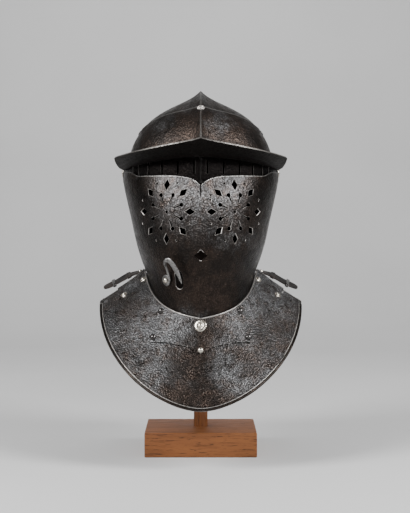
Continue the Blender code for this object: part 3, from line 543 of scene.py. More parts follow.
def tube(name, columns, rows, place, materials):
    """A closed skin: the columns go round a section, the rows go along it and pinch at both ends."""

    def fill(bm):
        made = bmesh.ops.create_grid(bm, x_segments=columns, y_segments=rows, size=0.5)
        for vert in made["verts"]:
            vert.co = place(vert.co.x + 0.5, vert.co.y + 0.5)
        bmesh.ops.remove_doubles(bm, verts=bm.verts, dist=1e-6)
        bmesh.ops.recalc_face_normals(bm, faces=bm.faces)

    return filled(name, fill, materials)


def cut(obj, cutters, operation="DIFFERENCE"):
    for cutter in cutters:
        cutter.hide_render = True
        modifier = obj.modifiers.new("cut", "BOOLEAN")
        modifier.operation = operation
        modifier.object = cutter
        modifier.solver = "EXACT"
        modifier.material_mode = "TRANSFER"


def settle(obj, degrees=35):
    """Applies the modifiers, removes the cutters that they used and sets the shading."""
    graph = bpy.context.evaluated_depsgraph_get()
    mesh = bpy.data.meshes.new_from_object(obj.evaluated_get(graph))
    cutters = [modifier.object for modifier in obj.modifiers if modifier.type == "BOOLEAN"]
    obj.modifiers.clear()
    obj.data = mesh
    for cutter in cutters:
        bpy.data.objects.remove(cutter, do_unlink=True)
    mesh.shade_smooth()
    mesh.set_sharp_from_angle(angle=math.radians(degrees))
    return obj


# The field's offsets are drawn from the clock unless a seed is set.
noise.seed_set(FIELD_SEED)


def uneven(obj, size, depth, seed):
    """Moves the vertices by a smooth field, both sides of a wall alike."""
    shift = Vector((seed * 7.3, seed * 3.1, seed * 5.7))
    for vert in obj.data.vertices:
        vert.co += noise.noise_vector(vert.co / size + shift) * depth


def widened(outline, distance):
    """A closed outline, moved outwards by this distance."""
    points = [Vector(point) for point in outline]
    area = sum(a.x * b.y - a.y * b.x for a, b in zip(points, points[1:] + points[:1]))
    turn = 1 if area > 0 else -1
    result = []
    for index, point in enumerate(points):
        before = (point - points[index - 1]).normalized()
        after = (points[(index + 1) % len(points)] - point).normalized()
        first = Vector((before.y, -before.x)) * turn
        second = Vector((after.y, -after.x)) * turn
        result.append(point + (first + second) * distance / max(1 + first.dot(second), 0.4))
    return result


def countersunk(bm, outline, centre, right, up, depth, chamfer, sharp_index=1):
    """A cutter that widens towards its top, so that its hole has a chamfered edge."""
    out = right.cross(up).normalized()
    low, high = (-chamfer * 0.8, 0.0), (chamfer * 1.2, chamfer * 2.0)
    levels = ((-depth, 0.0), low, high, (depth * 0.6, chamfer * 2.0))
    count, last = len(outline), len(levels) - 1
    made = bmesh.ops.create_grid(bm, x_segments=count, y_segments=last, size=0.5)["verts"]
    rows = {vert: round((vert.co.y + 0.5) * last) for vert in made}
    for face in {face for vert in made for face in vert.link_faces}:
        face.material_index = sharp_index if sum(rows[vert] for vert in face.verts) == 6 else 0
    for vert in made:
        level, offset = levels[rows[vert]]
        point = widened(outline, offset)[round((vert.co.x + 0.5) * count) % count]
        vert.co = centre + right * point.x + up * point.y + out * level
    bmesh.ops.remove_doubles(bm, verts=made, dist=1e-7)
    bmesh.ops.holes_fill(bm, edges=[edge for edge in bm.edges if edge.is_boundary], sides=0)
    bmesh.ops.recalc_face_normals(bm, faces=bm.faces)


def box_cutter(bm, low, high):
    made = bmesh.ops.create_cube(bm, size=1)
    size = [b - a for a, b in zip(low, high)]
    middle = [(a + b) / 2 for a, b in zip(low, high)]
    bmesh.ops.scale(bm, vec=size, verts=made["verts"])
    bmesh.ops.translate(bm, vec=middle, verts=made["verts"])


def disc(bm, x_from, x_to, radius, segments):
    """A round plate on the pivot axis."""
    made = bmesh.ops.create_cone(
        bm, cap_ends=True, segments=segments, radius1=radius, radius2=radius, depth=abs(x_to - x_from)
    )
    turn = Matrix.Rotation(math.pi / 2, 4, "Y")
    place = Matrix.Translation(((x_from + x_to) / 2, 0, PIVOT_HEIGHT))
    bmesh.ops.transform(bm, matrix=place @ turn, verts=made["verts"])


def eyes(layer, wall, radius, materials):
    outer = SKULL_HALF_WIDTH + layer

    def fill(bm):
        for side in (-1, 1):
            disc(bm, side * (outer - wall - 0.1 * MM), side * (outer - 0.1 * MM), radius, 48)

    return filled("eyes", fill, materials)


def pivot_holes(bm):
    reach = SKULL_HALF_WIDTH + GUARD_LAYER
    for side in (-1, 1):
        disc(bm, side * (reach - 15 * MM), side * (reach + 5 * MM), 3.3 * MM, 32)


def normal_of(place, first, second, step=1e-3):
    """The outward normal of a surface given by a function of two values."""
    here = place(first, second)
    normal = (place(first + step, second) - here).cross(place(first, second + step) - here).normalized()
    away = Vector((here.x, here.y, 0))
    return normal if normal.dot(away) > 0 else -normal


def lathe(bm, profile, segments, matrix):
    """Spins a profile of (radius, height) about Z, then places it."""
    verts = [bm.verts.new((radius, 0, height)) for radius, height in profile]
    edges = [bm.edges.new(pair) for pair in zip(verts, verts[1:])]
    made = bmesh.ops.spin(
        bm, geom=verts + edges, cent=(0, 0, 0), axis=(0, 0, 1), angle=2 * math.pi, steps=segments, use_merge=True
    )
    del made
    found = [vert for vert in bm.verts if vert.tag is False]
    bmesh.ops.remove_doubles(bm, verts=found, dist=1e-6)
    fresh = [vert for vert in bm.verts if vert.tag is False]
    bmesh.ops.transform(bm, matrix=matrix, verts=fresh)
    for vert in fresh:
        vert.tag = True


def facing(point, normal, twist=0.0):
    quat = Vector(normal).to_track_quat("Z", "Y")
    return Matrix.Translation(point) @ quat.to_matrix().to_4x4() @ Matrix.Rotation(twist, 4, "Z")


def dome(radius, height, rings, low=0.0):
    turns = [math.pi / 2 * ring / rings for ring in range(rings)]
    return [(radius * math.sin(turn), low + height * math.cos(turn)) for turn in turns] + [(radius, low)]


def rivet(name, point, normal, radius, height, body, node, metal, washer=0.0, petals=0, ring_metal=None):
    """A round rivet head, on a washer where it has one."""
    lift = 0.9 * MM if washer else 0.0
    sink = 0.3 * MM

    def fill(bm):
        place = facing(point - normal * sink, normal)
        profile = dome(radius, height - lift, 8, sink + lift)
        profile += [(radius * 0.97, sink), (radius * 0.97, 0), (0, 0)]
        lathe(bm, profile, 28, place)
        if washer:
            ring = [
                (radius * 0.9, sink + lift), (radius * 1.08, sink + lift * 1.3), (washer * 0.8, sink + lift * 1.15),
                (washer * 0.94, sink + lift * 0.7), (washer, sink + lift * 0.1), (washer, 0), (radius * 0.9, 0),
                (radius * 0.9, sink + lift),
            ]
            before = len(bm.verts)
            heads = set(bm.faces)
            lathe(bm, ring, 48, place)
            for face in set(bm.faces) - heads:
                face.material_index = 1
            if petals:
                bm.verts.ensure_lookup_table()
                back = place.inverted()
                for vert in bm.verts[before:]:
                    local = back @ vert.co
                    reach = math.hypot(local.x, local.y)
                    if reach > radius * 1.3:
                        turn = math.atan2(local.y, local.x)
                        wave = 1 - 0.06 * (0.5 + 0.5 * math.cos(petals * turn))
                        vert.co = place @ Vector((local.x * wave, local.y * wave, local.z))
        bmesh.ops.recalc_face_normals(bm, faces=bm.faces)

    obj = filled(name, fill, [metal, ring_metal or metal])
    obj.data.shade_smooth()
    obj.data.set_sharp_from_angle(angle=math.radians(50))
    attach(obj, body)
    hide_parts(node)
    return obj


def finish_piece(obj, body, slot, *nodes):
    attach(obj, body)
    if nodes:
        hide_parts(*nodes)
    return obj


ROOT = "stand_and_skull"
middle_head = Vector((0, 0, PIVOT_HEIGHT))


# Skull


def build_skull():
    foot = PIVOT_HEIGHT - NECK_DROP * 1.04
    crown = 0.74

    def place(across, down):
        angle = (across - 0.5) * math.pi
        if down <= crown:
            turn = SKULL_BROW_ANGLE + (math.pi - SKULL_BROW_ANGLE) * down / crown
            return crown_point(angle, turn, -0.2 * MM)
        share = (down - crown) / (1 - crown)
        return nape_point(angle, PIVOT_HEIGHT + (foot - PIVOT_HEIGHT) * share, 0)

    skull = plate("skull_shell", 110, 100, place, SKULL_WALL, [skull_steel, worn_edge, inner_shaded_steel], Vector((0, 0, 0.36)))
    cut(skull, [eyes(0, SKULL_WALL, 9 * MM, [skull_steel])], "UNION")
    cut(skull, [filled("holes", pivot_holes, [skull_steel])])
    settle(skull)
    uneven(skull, 0.045, 0.25 * MM, 1)
    finish_piece(skull, ROOT, "dark_steel", "skull")


# Visor with its peak


def visor_top(angle):
    x = SKULL_HALF_WIDTH * abs(math.sin(angle))
    return VISOR_TOP_ANGLE + VISOR_TOP_RISE * (x / BROW_HALF_WIDTH) ** 0.8


def peak_root(angle):
    height = PEAK_ROOT_HEIGHT - PEAK_ROOT_FALL * math.sin(angle) ** 2
    layer = VISOR_LAYER - PLATE_WALL / 2
    radius = -crown_point(angle, 0, layer).y
    return crown_point(angle, math.asin(min(height / radius, 0.9)), layer)


def peak_edge(angle):
    swing = angle * 1.04
    corner = max((abs(angle) - PEAK_CORNER_ANGLE) / (PEAK_END_ANGLE - PEAK_CORNER_ANGLE), 0) ** 1.1
    x = math.sin(swing) * (PEAK_HALF_WIDTH - PEAK_CORNER_INSET * corner)
    y = -PEAK_REACH * max(math.cos(swing), 0.02) ** 0.9
    height = PEAK_EDGE_HEIGHT - PEAK_SIDE_FALL * abs(math.sin(swing)) ** 1.15 - PEAK_CORNER_FALL * corner
    return Vector((x, y, PIVOT_HEIGHT + height + 2.5 * MM * math.exp(-abs(x) / (10 * MM))))


def build_visor():
    def place(across, down):
        angle = (across - 0.5) * math.pi
        turn = visor_top(angle) + (VISOR_FOOT_ANGLE - visor_top(angle)) * down
        return crown_point(angle, turn, VISOR_LAYER)

    inside = Vector((0, 0, PIVOT_HEIGHT))
    visor = plate("visor_plate", 120, 44, place, PLATE_WALL, [visor_steel, peak_rim, inner_shaded_steel], inside)

    def side_cuts(bm):
        for side in (-1, 1):
            ends = sorted((side * BROW_HALF_WIDTH, side * (BROW_HALF_WIDTH + 0.06)))
            low = (ends[0], -0.2, PIVOT_HEIGHT + ARM_TOP)
            box_cutter(bm, low, (ends[1], 0.2, PIVOT_HEIGHT + ARM_TOP + 0.12))

    cut(visor, [filled("side_cuts", side_cuts, [worn_edge])])

    def peak_place(across, down):
        angle = (across - 0.5) * 2 * PEAK_END_ANGLE
        root, edge = peak_root(angle), peak_edge(angle)
        outward = Vector((edge.x - root.x, edge.y - root.y, 0))
        bend = root + outward * 0.3 - Vector((0, 0, 3 * MM))
        return root * (1 - down) ** 2 + bend * 2 * down * (1 - down) + edge * down**2

    peak = plate("peak", 120, 24, peak_place, PLATE_WALL, [visor_steel, peak_rim, inner_shaded_steel], inside - Vector((0, 0, 1)))
    cut(visor, [peak], "UNION")
    cut(visor, [eyes(VISOR_LAYER, PLATE_WALL, 10 * MM, [visor_steel])], "UNION")

    def openings(bm):
        pivot_holes(bm)
        half, tall = SIGHT_SLIT_WIDTH / 2, SIGHT_SLIT_HEIGHT / 2
        outline = [(-half, -tall), (half, -tall), (half, tall), (-half, tall)]
        for degrees in SIGHT_SLIT_ANGLES:
            for side in (-1, 1):
                angle = side * math.radians(degrees)
                # The slit's angle is about the middle of the helmet, so its place on the form is searched for.
                for _ in range(20):
                    point = crown_point(angle, 0, VISOR_LAYER)
                    seen = math.atan2(point.x, -point.y)
                    angle += (side * math.radians(degrees) - seen) * 0.7
                centre = crown_point(angle, SIGHT_SLIT_MIDDLE / SKULL_RADIUS, VISOR_LAYER)
                out = Vector((centre.x, centre.y, 0)).normalized()
                right = Vector((-out.y, out.x, 0))
                countersunk(bm, outline, centre, right, Vector((0, 0, 1)), 8 * MM, 0.3 * MM)

    cut(visor, [filled("openings", openings, [visor_steel, peak_rim, inner_shaded_steel])])
    settle(visor)
    uneven(visor, 0.04, 0.12 * MM, 2)
    finish_piece(visor, "visor", "dark_steel", "visor")

    point = crown_point(0, VISOR_TOP_ANGLE - math.radians(3), VISOR_LAYER)
    up = Vector((0, -math.cos(VISOR_TOP_ANGLE), math.sin(VISOR_TOP_ANGLE)))

    def eyelet(bm):
        profile = [
            (0, 1.9 * MM), (1.3 * MM, 1.6 * MM), (1.9 * MM, 0.9 * MM), (2.3 * MM, 1.5 * MM), (2.9 * MM, 1.9 * MM),
            (3.5 * MM, 1.4 * MM), (3.8 * MM, 0.3 * MM), (3.8 * MM, -0.3 * MM), (0, -0.3 * MM),
        ]
        lathe(bm, profile, 36, facing(point, up))
        bmesh.ops.scale(bm, vec=(1.35, 1, 1), verts=bm.verts)
        bmesh.ops.recalc_face_normals(bm, faces=bm.faces)

    nub = filled("brow_eyelet", eyelet, [chamfer_metal])
    settle(nub, 50)
    finish_piece(nub, "visor", "worn_steel", "visor_nub")


# Face guard


def guard_top(angle):
    x = SKULL_HALF_WIDTH * abs(math.sin(angle))
    arm = min(max((abs(angle) - math.radians(50)) / math.radians(15), 0), 1)
    drop = GUARD_TOP_DROP * (1 - arm * arm * (3 - 2 * arm))
    return PIVOT_HEIGHT - drop - NOTCH_DEPTH * math.exp(-x / NOTCH_SPREAD)


def guard_at(x, height, layer=GUARD_LAYER):
    """The point and the outward normal of the face guard at this x and height."""
    angle = 0.0
    for _ in range(30):
        angle += (x - face_point(angle, height, layer).x) / SKULL_HALF_WIDTH
    normal = normal_of(lambda first, second: face_point(first, second, layer), angle, height)
    return face_point(angle, height, layer), normal


def tangent_frame(normal):
    up = Vector((0, 0, 1))
    up = (up - normal * up.dot(normal)).normalized()
    return up.cross(normal), up


def round_outline(radius, count, wide=1.0):
    turns = [2 * math.pi * step / count for step in range(count)]
    return [(radius * wide * math.cos(turn), radius * math.sin(turn)) for turn in turns]


def rosette_holes():
    """Each hole of a rosette: its centre as reach and turn, then its outline along that turn."""
    holes = [(0.0, 0.0, round_outline(2 * MM, 20))]
    step = 2 * math.pi / ROSETTE_LEAVES
    leaf = [(-LEAF_LENGTH / 2, 0), (0, -LEAF_WIDTH / 2), (LEAF_LENGTH / 2, 0), (0, LEAF_WIDTH / 2)]
    head, foot = ROSETTE_RADIUS * 0.67, ROSETTE_RADIUS * 0.33
    middle = (head + foot) / 2
    key = [(foot - middle, KEY_SLOT / 2), (foot - middle, -KEY_SLOT / 2)]
    for degrees in range(-160, 161, 20):
        turn = math.radians(degrees)
        key.append((head - middle + KEY_RADIUS * math.cos(turn), KEY_RADIUS * math.sin(turn)))
    for index in range(ROSETTE_LEAVES):
        holes.append((ROSETTE_RADIUS, index * step, leaf))
        holes.append((middle, (index + 0.5) * step, key))
        holes.append((ROSETTE_RADIUS * 1.14, (index + 0.5) * step, round_outline(1.3 * MM, 14)))
    return holes


def build_face_guard():
    def place(across, down):
        angle = (across - 0.5) * math.pi
        foot = rim_point(angle, GUARD_TUCK, GUARD_LAYER).z
        height = guard_top(angle) + (foot - guard_top(angle)) * down
        return face_point(angle, height, GUARD_LAYER)

    inside = Vector((0, 0, 0.3))
    guard = plate("face_plate", 132, 100, place, PLATE_WALL, [guard_steel, worn_edge, inner_shaded_steel], inside)
    cut(guard, [eyes(GUARD_LAYER, PLATE_WALL, 14 * MM, [guard_steel])], "UNION")

    def openings(bm):
        pivot_holes(bm)
        for side in (-1, 1):
            middle, normal = guard_at(side * ROSETTE_X, ROSETTE_HEIGHT)
            right, up = tangent_frame(normal)
            for reach, turn, outline in rosette_holes():
                flat = middle + (right * math.cos(turn) + up * math.sin(turn)) * reach
                centre, local = guard_at(flat.x, flat.z)
                along = right * math.cos(turn) + up * math.sin(turn)
                along = (along - local * along.dot(local)).normalized()
                edge = 0.7 * MM if len(outline) == 4 else 0.4 * MM
                countersunk(bm, outline, centre, along, local.cross(along), 7 * MM, edge)
        right, up = Vector((1, 0, 0)), Vector((0, 0, 1))
        half, tall = MOUTH_HOLE_WIDTH / 2, MOUTH_HOLE_TALL / 2
        lozenge = [(-half, 0), (0, -tall), (half, 0), (0, tall)]
        front = face_point(0, MOUTH_HOLE_HEIGHT, GUARD_LAYER)
        countersunk(bm, lozenge, front + Vector((0, 1 * MM, 0)), right, up, 14 * MM, 0.5 * MM)
        slit, deep = NOTCH_SLIT / 2, NOTCH_SLIT_DEPTH
        strip = [(-slit, -deep), (slit, -deep), (slit, 5 * MM), (-slit, 5 * MM)]
        top = face_point(0, PIVOT_HEIGHT - GUARD_TOP_DROP - deep, GUARD_LAYER)
        centre = Vector((0, top.y, PIVOT_HEIGHT - GUARD_TOP_DROP))
        countersunk(bm, strip, centre, right, up, 25 * MM, 0.5 * MM)
        centre, normal = guard_at(CATCH_SLOT_X, CATCH_SLOT_HEIGHT)
        right, up = tangent_frame(normal)
        radius = CATCH_SLOT_WIDTH / 2
        straight = CATCH_SLOT_TALL / 2 - radius
        slot = []
        for end, start in ((1, 0), (-1, 180)):
            for degrees in range(start, start + 181, 20):
                turn = math.radians(degrees)
                slot.append((radius * math.cos(turn), end * straight + radius * math.sin(turn)))
        countersunk(bm, slot, centre, right, up, 10 * MM, 0.5 * MM)

    cut(guard, [filled("openings", openings, [guard_steel, chamfer_metal])])
    settle(guard)
    uneven(guard, 0.045, 0.15 * MM, 2)
    finish_piece(guard, "face_guard", "dark_steel", "face_guard")


# Gorget

# Columns: x as a share of GORGET_HALF_WIDTH, height as a share from GORGET_FRONT_FOOT up to
# GORGET_SHOULDER_HEIGHT, along the collar's lower edge from the middle point to the shoulder.
COLLAR_EDGE = (
    (0.000, 0.535),
    (0.080, 0.585),
    (0.163, 0.610),
    (0.250, 0.625),
    (0.330, 0.637),
    (0.420, 0.640),
    (0.486, 0.637),
    (0.530, 0.690),
    (0.560, 0.758),
    (0.545, 0.830),
    (0.600, 0.890),
    (0.694, 0.957),
    (0.781, 1.031),
    (0.815, 1.090),
    (0.830, 1.300),
    (0.600, 1.700),
)


def smooth_line(points, per_span):
    """More points on a smooth curve through these points."""
    rows = [(index, *point) for index, point in enumerate(points)]
    count = (len(points) - 1) * per_span
    return [tuple(table_row(rows, step / per_span)[1:]) for step in range(count + 1)]


def bead_rise(distance):
    """The height of the low bead inside the rolled rim at this distance from a plate's edge."""
    share = (distance - ROLL_RADIUS * 2 - BEAD_HALF) / BEAD_HALF
    if abs(share) >= 1:
        return 0.0
    return BEAD_HEIGHT * math.sqrt(1 - share * share)


def rim_shares(low, rows, fine):
    """Shares along a plate, with this many fine rows for the turned rim."""
    wide = 0.04
    coarse = rows - fine
    return [low + (1 - wide - low) * row / coarse for row in range(coarse)] + [
        1 - wide + wide * row / fine for row in range(fine + 1)
    ]


# Columns: x and height of points along dents in the left breast, then depth and half width.
DENTS = (
    ((-86, 150), (-76, 137), 0.9, 4.0),
    ((-76, 137), (-81, 113), 1.1, 4.5),
    ((-92, 128), (-84, 108), 0.7, 6.0),
    ((-62, 118), (-70, 92), 0.5, 9.0),
    ((-44, 140), (-40, 124), 0.4, 6.0),
    ((52, 146), (60, 128), 0.4, 7.0),
    ((84, 132), (96, 112), 0.5, 9.0),
)


def dent(point):
    """How far in the hammered dents take a point."""
    here = Vector((point.x, point.z)) / MM
    depth = 0.0
    for start, end, low, wide in DENTS:
        first, last = Vector(start), Vector(end)
        line = last - first
        share = min(max((here - first).dot(line) / line.length_squared, 0), 1)
        gap = (here - first - line * share).length / wide
        depth += low * MM * math.exp(-gap * gap)
    return depth


def rolled_rim(name, edge, inward, reach, body, thick, inset, metal):
    """A round bar along a plate's edge, its outer side this far in from the edge."""

    def place(around, along):
        angle = (along - 0.5) * math.pi * reach
        tip = edge(angle)
        side = (edge(angle + 1e-3) - edge(angle - 1e-3)).normalized()
        back = (inward(angle) - tip).normalized()
        back = (back - side * back.dot(side)).normalized()
        up = side.cross(back)
        turn = around * 2 * math.pi
        end = min(along, 1 - along) / 0.006
        radius = thick * math.sqrt(max(1 - (1 - min(end, 1.0)) ** 2, 0.0))
        centre = tip + back * (inset + thick)
        centre.y = min(max(centre.y, CAD_LOW.y + thick), CAD_HIGH.y - thick)
        return centre + (back * math.cos(turn) + up * math.sin(turn)) * radius

    rim = tube(name, 14, 220, place, [metal])
    rim.data.shade_smooth()
    return finish_piece(rim, body, "dark_steel")


# Each bar of a rim: name, radius, distance from the edge and metal. The thin bright bar inside the roll is painted
# highlight, a bright line where light catches the roll's inner edge.
RIM_BARS = (("rim", ROLL_RADIUS, 0.0, rim_steel), ("rim_highlight", 0.6 * MM, 2 * ROLL_RADIUS, chamfer_metal))


def build_gorget():
    rows, fine = 74, 20
    shares = rim_shares(0.2, rows, fine)

    def front_place(across, down):
        angle = (across - 0.5) * math.pi
        share = shares[min(round(down * rows), rows)]
        length = (gorget_edge(angle) - neck_rim(angle)).length
        distance = (1 - share) * length
        base = gorget_point(angle, min(share, 1) * 0.997, 0)
        out = gorget_point(angle, min(share, 1) * 0.997, 1 * MM) - base
        return base + out * (bead_rise(distance) - dent(base)) / MM

    inside = Vector((0, 0, 0.05))
    front = plate("breast_plate", 190, rows, front_place, PLATE_WALL, [gorget_steel, worn_edge, inner_shaded_steel], inside)
    settle(front, 50)
    uneven(front, 0.030, 0.45 * MM, 3)
    uneven(front, 0.008, 0.10 * MM, 4)
    finish_piece(front, "face_guard", "dark_steel", "gorget_front")
    for name, thick, inset, metal in RIM_BARS:
        rolled_rim(
            f"breast_{name}", gorget_edge, lambda angle: gorget_point(angle, 0.93, 0), 0.985, "face_guard",
            thick, inset, metal
        )

    layer = COLLAR_GAP + PLATE_WALL

    def collar_place(across, down):
        angle = (across - 0.5) * math.pi
        return gorget_point(angle, 0.8 * down, layer)

    collar = plate("collar_plate", 190, 56, collar_place, PLATE_WALL, [collar_steel, worn_edge, inner_shaded_steel], inside)

    def outline(bm):
        tall = GORGET_SHOULDER_HEIGHT - GORGET_FRONT_FOOT
        right = [(x * GORGET_HALF_WIDTH, z * tall) for x, z in smooth_line(COLLAR_EDGE, 5)]
        left = [(-x, z) for x, z in reversed(right[1:])]
        line = right + left
        made = bmesh.ops.create_circle(bm, cap_ends=True, segments=len(line), radius=1)
        for vert, (x, z) in zip(made["verts"], line):
            vert.co = Vector((x, -0.23, GORGET_FRONT_FOOT + z))
        pulled = bmesh.ops.extrude_face_region(bm, geom=[made["verts"][0].link_faces[0]])
        moved = [item for item in pulled["geom"] if isinstance(item, bmesh.types.BMVert)]
        bmesh.ops.translate(bm, verts=moved, vec=(0, 0.26, 0))
        bmesh.ops.recalc_face_normals(bm, faces=bm.faces)

    cut(collar, [filled("outline", outline, [dark_metal])], "INTERSECT")
    settle(collar)
    uneven(collar, 0.030, 0.25 * MM, 3)
    uneven(collar, 0.008, 0.08 * MM, 4)
    finish_piece(collar, "face_guard", "dark_steel", "gorget_collar")

    # The rolled upper rim of the collar.
    def rim_place(around, along):
        angle = (along - 0.5) * math.pi * 0.985
        centre = gorget_point(angle, 0.0, layer)
        ahead = gorget_point(angle + 1e-3, 0.0, layer) - centre
        turn = around * 2 * math.pi
        side = ahead.normalized()
        up = Vector((0, 0, 1))
        out = side.cross(up).normalized()
        pinch = 0.0 if along in (0.0, 1.0) else 1.0
        centre = centre - out * 0.1 * MM - up * 0.9 * MM
        return centre + (out * math.cos(turn) + up * math.sin(turn)) * 1.15 * MM * pinch

    rim = tube("collar_rim", 12, 160, rim_place, [worn_edge])
    rim.data.shade_smooth()
    finish_piece(rim, "face_guard", "worn_steel")

    rear_rows = 60
    rear_shares = rim_shares(0.0, rear_rows, fine)

    def rear_place(across, down):
        angle = (0.5 - across) * math.pi
        share = rear_shares[min(round(down * rear_rows), rear_rows)]
        base = rear_gorget_point(angle, share * 0.997)
        length = (rear_gorget_point(angle, 1) - rear_gorget_point(angle, 0)).length
        normal = normal_of(rear_gorget_point, angle, min(share, 0.98))
        if normal.z < 0:
            normal = -normal
        return base + normal * bead_rise((1 - share) * length)

    rear = plate("back_plate", 170, rear_rows, rear_place, PLATE_WALL, [gorget_steel, worn_edge, inner_shaded_steel], inside)
    settle(rear, 50)
    uneven(rear, 0.030, 0.3 * MM, 5)
    finish_piece(rear, ROOT, "dark_steel", "rear_gorget")
    for name, thick, inset, metal in RIM_BARS:
        rolled_rim(
            f"back_{name}", lambda angle: rear_gorget_point(angle, 1), lambda angle: rear_gorget_point(angle, 0.93),
            0.98, ROOT, thick, inset, metal
        )


# Columns: node, angle about the neck in degrees, share from rim to edge, radius and height in mm, washer
# radius in mm, petals, bright or not.
GORGET_RIVETS = (
    ("middle", 0, 0.09, 3.3, 3.2, 8.2, 12, True),
    ("point", 0, 0.36, 4.0, 3.2, 0.0, 0, True),
    ("neck", 82, 0.11, 2.7, 2.8, 4.6, 0, True),
    ("shoulder", 82, 0.53, 2.7, 2.8, 4.6, 0, True),
    ("upper", 42, 0.10, 4.1, 3.6, 0.0, 0, False),
    ("cusp", 39, 0.44, 4.2, 3.6, 0.0, 0, False),
)


def build_rivets():
    layer = COLLAR_GAP + PLATE_WALL
    for name, degrees, share, radius, height, washer, petals, lit in GORGET_RIVETS:
        for side, word in ((-1, "_left"), (1, "_right")):
            if not degrees and side > 0:
                continue
            angle = side * math.radians(degrees)
            point = gorget_point(angle, share, layer)
            normal = (gorget_point(angle, share, layer + PLATE_WALL) - point).normalized()
            tail = word if degrees else ""
            metal = bright_metal if lit else dark_metal
            piece = rivet(
                f"rivet_{name}{tail}", point, normal, radius * MM, height * MM, "face_guard",
                f"gorget_rivet_{name}{tail}", metal, washer * MM, petals
            )
    for side, word in ((-1, "left"), (1, "right")):
        angle = side * math.asin(82.6 * MM / SKULL_HALF_WIDTH)
        turn = math.radians(92)
        point = crown_point(angle, turn, 0)
        normal = normal_of(lambda first, second: crown_point(first, second, 0), angle, turn)
        piece = rivet(
            f"crown_rivet_{word}", point, normal, 2.8 * MM, 1.7 * MM, ROOT, f"side_rivet_{word}", bright_metal,
            4.4 * MM, 0, dark_metal
        )
    for name, height, radius, tall, metal in (
        ("latch_rivet", 281 * MM, 3.2 * MM, 3 * MM, bright_metal),
        ("latch_stud", 267 * MM, 4.5 * MM, 7 * MM, dark_metal),
    ):
        angle = -math.radians(84)
        point = nape_point(angle, height, 0)
        normal = normal_of(lambda first, second: nape_point(first, second, 0), angle, height)
        piece = rivet(f"{name}_head", point, normal, radius, tall, ROOT, name, metal)
    outer = SKULL_HALF_WIDTH + GUARD_LAYER
    for side, word in ((-1, "left"), (1, "right")):
        def fill(bm, side=side):
            low = FIT
            profile = dome(6.5 * MM, 1.9 * MM, 10, low)
            profile += [(3 * MM, low), (3 * MM, -11 * MM), (5 * MM, -11 * MM), (5 * MM, -12.5 * MM), (0, -12.5 * MM)]
            lathe(bm, profile, 36, facing(Vector((side * outer, 0, PIVOT_HEIGHT)), Vector((side, 0, 0))))
            bmesh.ops.recalc_face_normals(bm, faces=bm.faces)

        pivot = filled(f"pivot_{word}", fill, [bright_metal])
        pivot.data.shade_smooth()
        pivot.data.set_sharp_from_angle(angle=math.radians(50))
        finish_piece(pivot, ROOT, "worn_steel", f"pivot_rivet_{word}")


# Straps

# Columns: share along the strap, then how far out from its inner end and how far down, as shares of
# STRAP_LENGTH.
STRAP_ROUTE = (
    (0.00, 0.00, 0.00),
    (0.35, 0.33, 0.13),
    (0.70, 0.62, 0.29),
    (1.00, 0.90, 0.42),
)


def strap_frame(share, side):
    row = table_row(STRAP_ROUTE, share)
    start = rear_gorget_point(side * math.radians(76), 0.08)
    lift = Vector((side * 0.45, 0, 0.9)) * (STRAP_THICKNESS + STRAP_LIFT)
    return start + lift + Vector((side * row[1], 0, -row[2])) * STRAP_LENGTH


def strap_normal(share, side):
    along = (strap_frame(min(share + 0.02, 1.0), side) - strap_frame(share - 0.02, side)).normalized()
    normal = along.cross(Vector((0, side, 0)))
    return normal if normal.z > 0 else -normal


def build_straps():
    for side, word in ((-1, "left"), (1, "right")):

        def place(around, along, side=side, grow=0.0):
            centre = strap_frame(along, side)
            normal = strap_normal(min(max(along, 0.02), 0.98), side)
            tip = min(max((along - 0.80) / 0.20, 0.0), 1.0)
            root = min(max(1 - along / 0.04, 0.0), 1.0)
            width = STRAP_WIDTH / 2 * math.sqrt(max(1 - tip**2.6, 0.0)) * math.sqrt(max(1 - root**2, 0.0))
            width *= 1 + 0.04 * math.sin(along * 17 + side)
            thick = STRAP_THICKNESS / 2 * min(width / (2 * MM), 1.0)
            turn = around * 2 * math.pi
            cos, sin = math.cos(turn), math.sin(turn)
            power = 0.35
            across = math.copysign(abs(cos) ** power, cos) * (width + grow)
            lift = math.copysign(abs(sin) ** power, sin) * (thick + grow * 0.6)
            lean = math.radians(17) * min(along * 2.2, 1.0)
            side_way = Vector((0, 1, 0)) * math.cos(lean) + normal * math.sin(lean)
            centre = centre + normal * (STRAP_WIDTH / 2 * math.sin(lean) - STRAP_THICKNESS / 2)
            return centre + side_way * across + normal * lift

        strap = tube(f"strap_leather_{word}", 28, 60, place, [strap_leather])
        settle(strap, 50)
        uneven(strap, 0.012, 0.35 * MM, 6 + side)
        finish_piece(strap, ROOT, "leather", f"strap_{word}")
        for name, first, last, grow, matter in (
            ("keeper", 0.34, 0.44, 1.4, strap_leather), ("buckle", 0.72, 0.80, 2.2, dark_metal),
        ):

            def band(around, along, first=first, last=last, grow=grow, place=place):
                end = min(along, 1 - along) / 0.12
                full = math.sqrt(max(1 - (1 - min(end, 1.0)) ** 2, 0.0))
                return place(around, first + (last - first) * along, grow=grow * MM * full)

            piece = tube(f"strap_{name}_{word}", 28, 12, band, [matter])
            settle(piece, 50)
            finish_piece(piece, ROOT, "leather")
        for name, share, radius, height in (("rivet", 0.14, 3.4, 2.6), ("stud", 0.66, 2.4, 2.2)):
            point = strap_frame(share, side)
            normal = strap_normal(share, side)
            piece = rivet(
                f"strap_{name}_head_{word}", point, normal, radius * MM, height * MM, ROOT,
                f"strap_{name}_{word}", bright_metal
            )


# Cheek hook

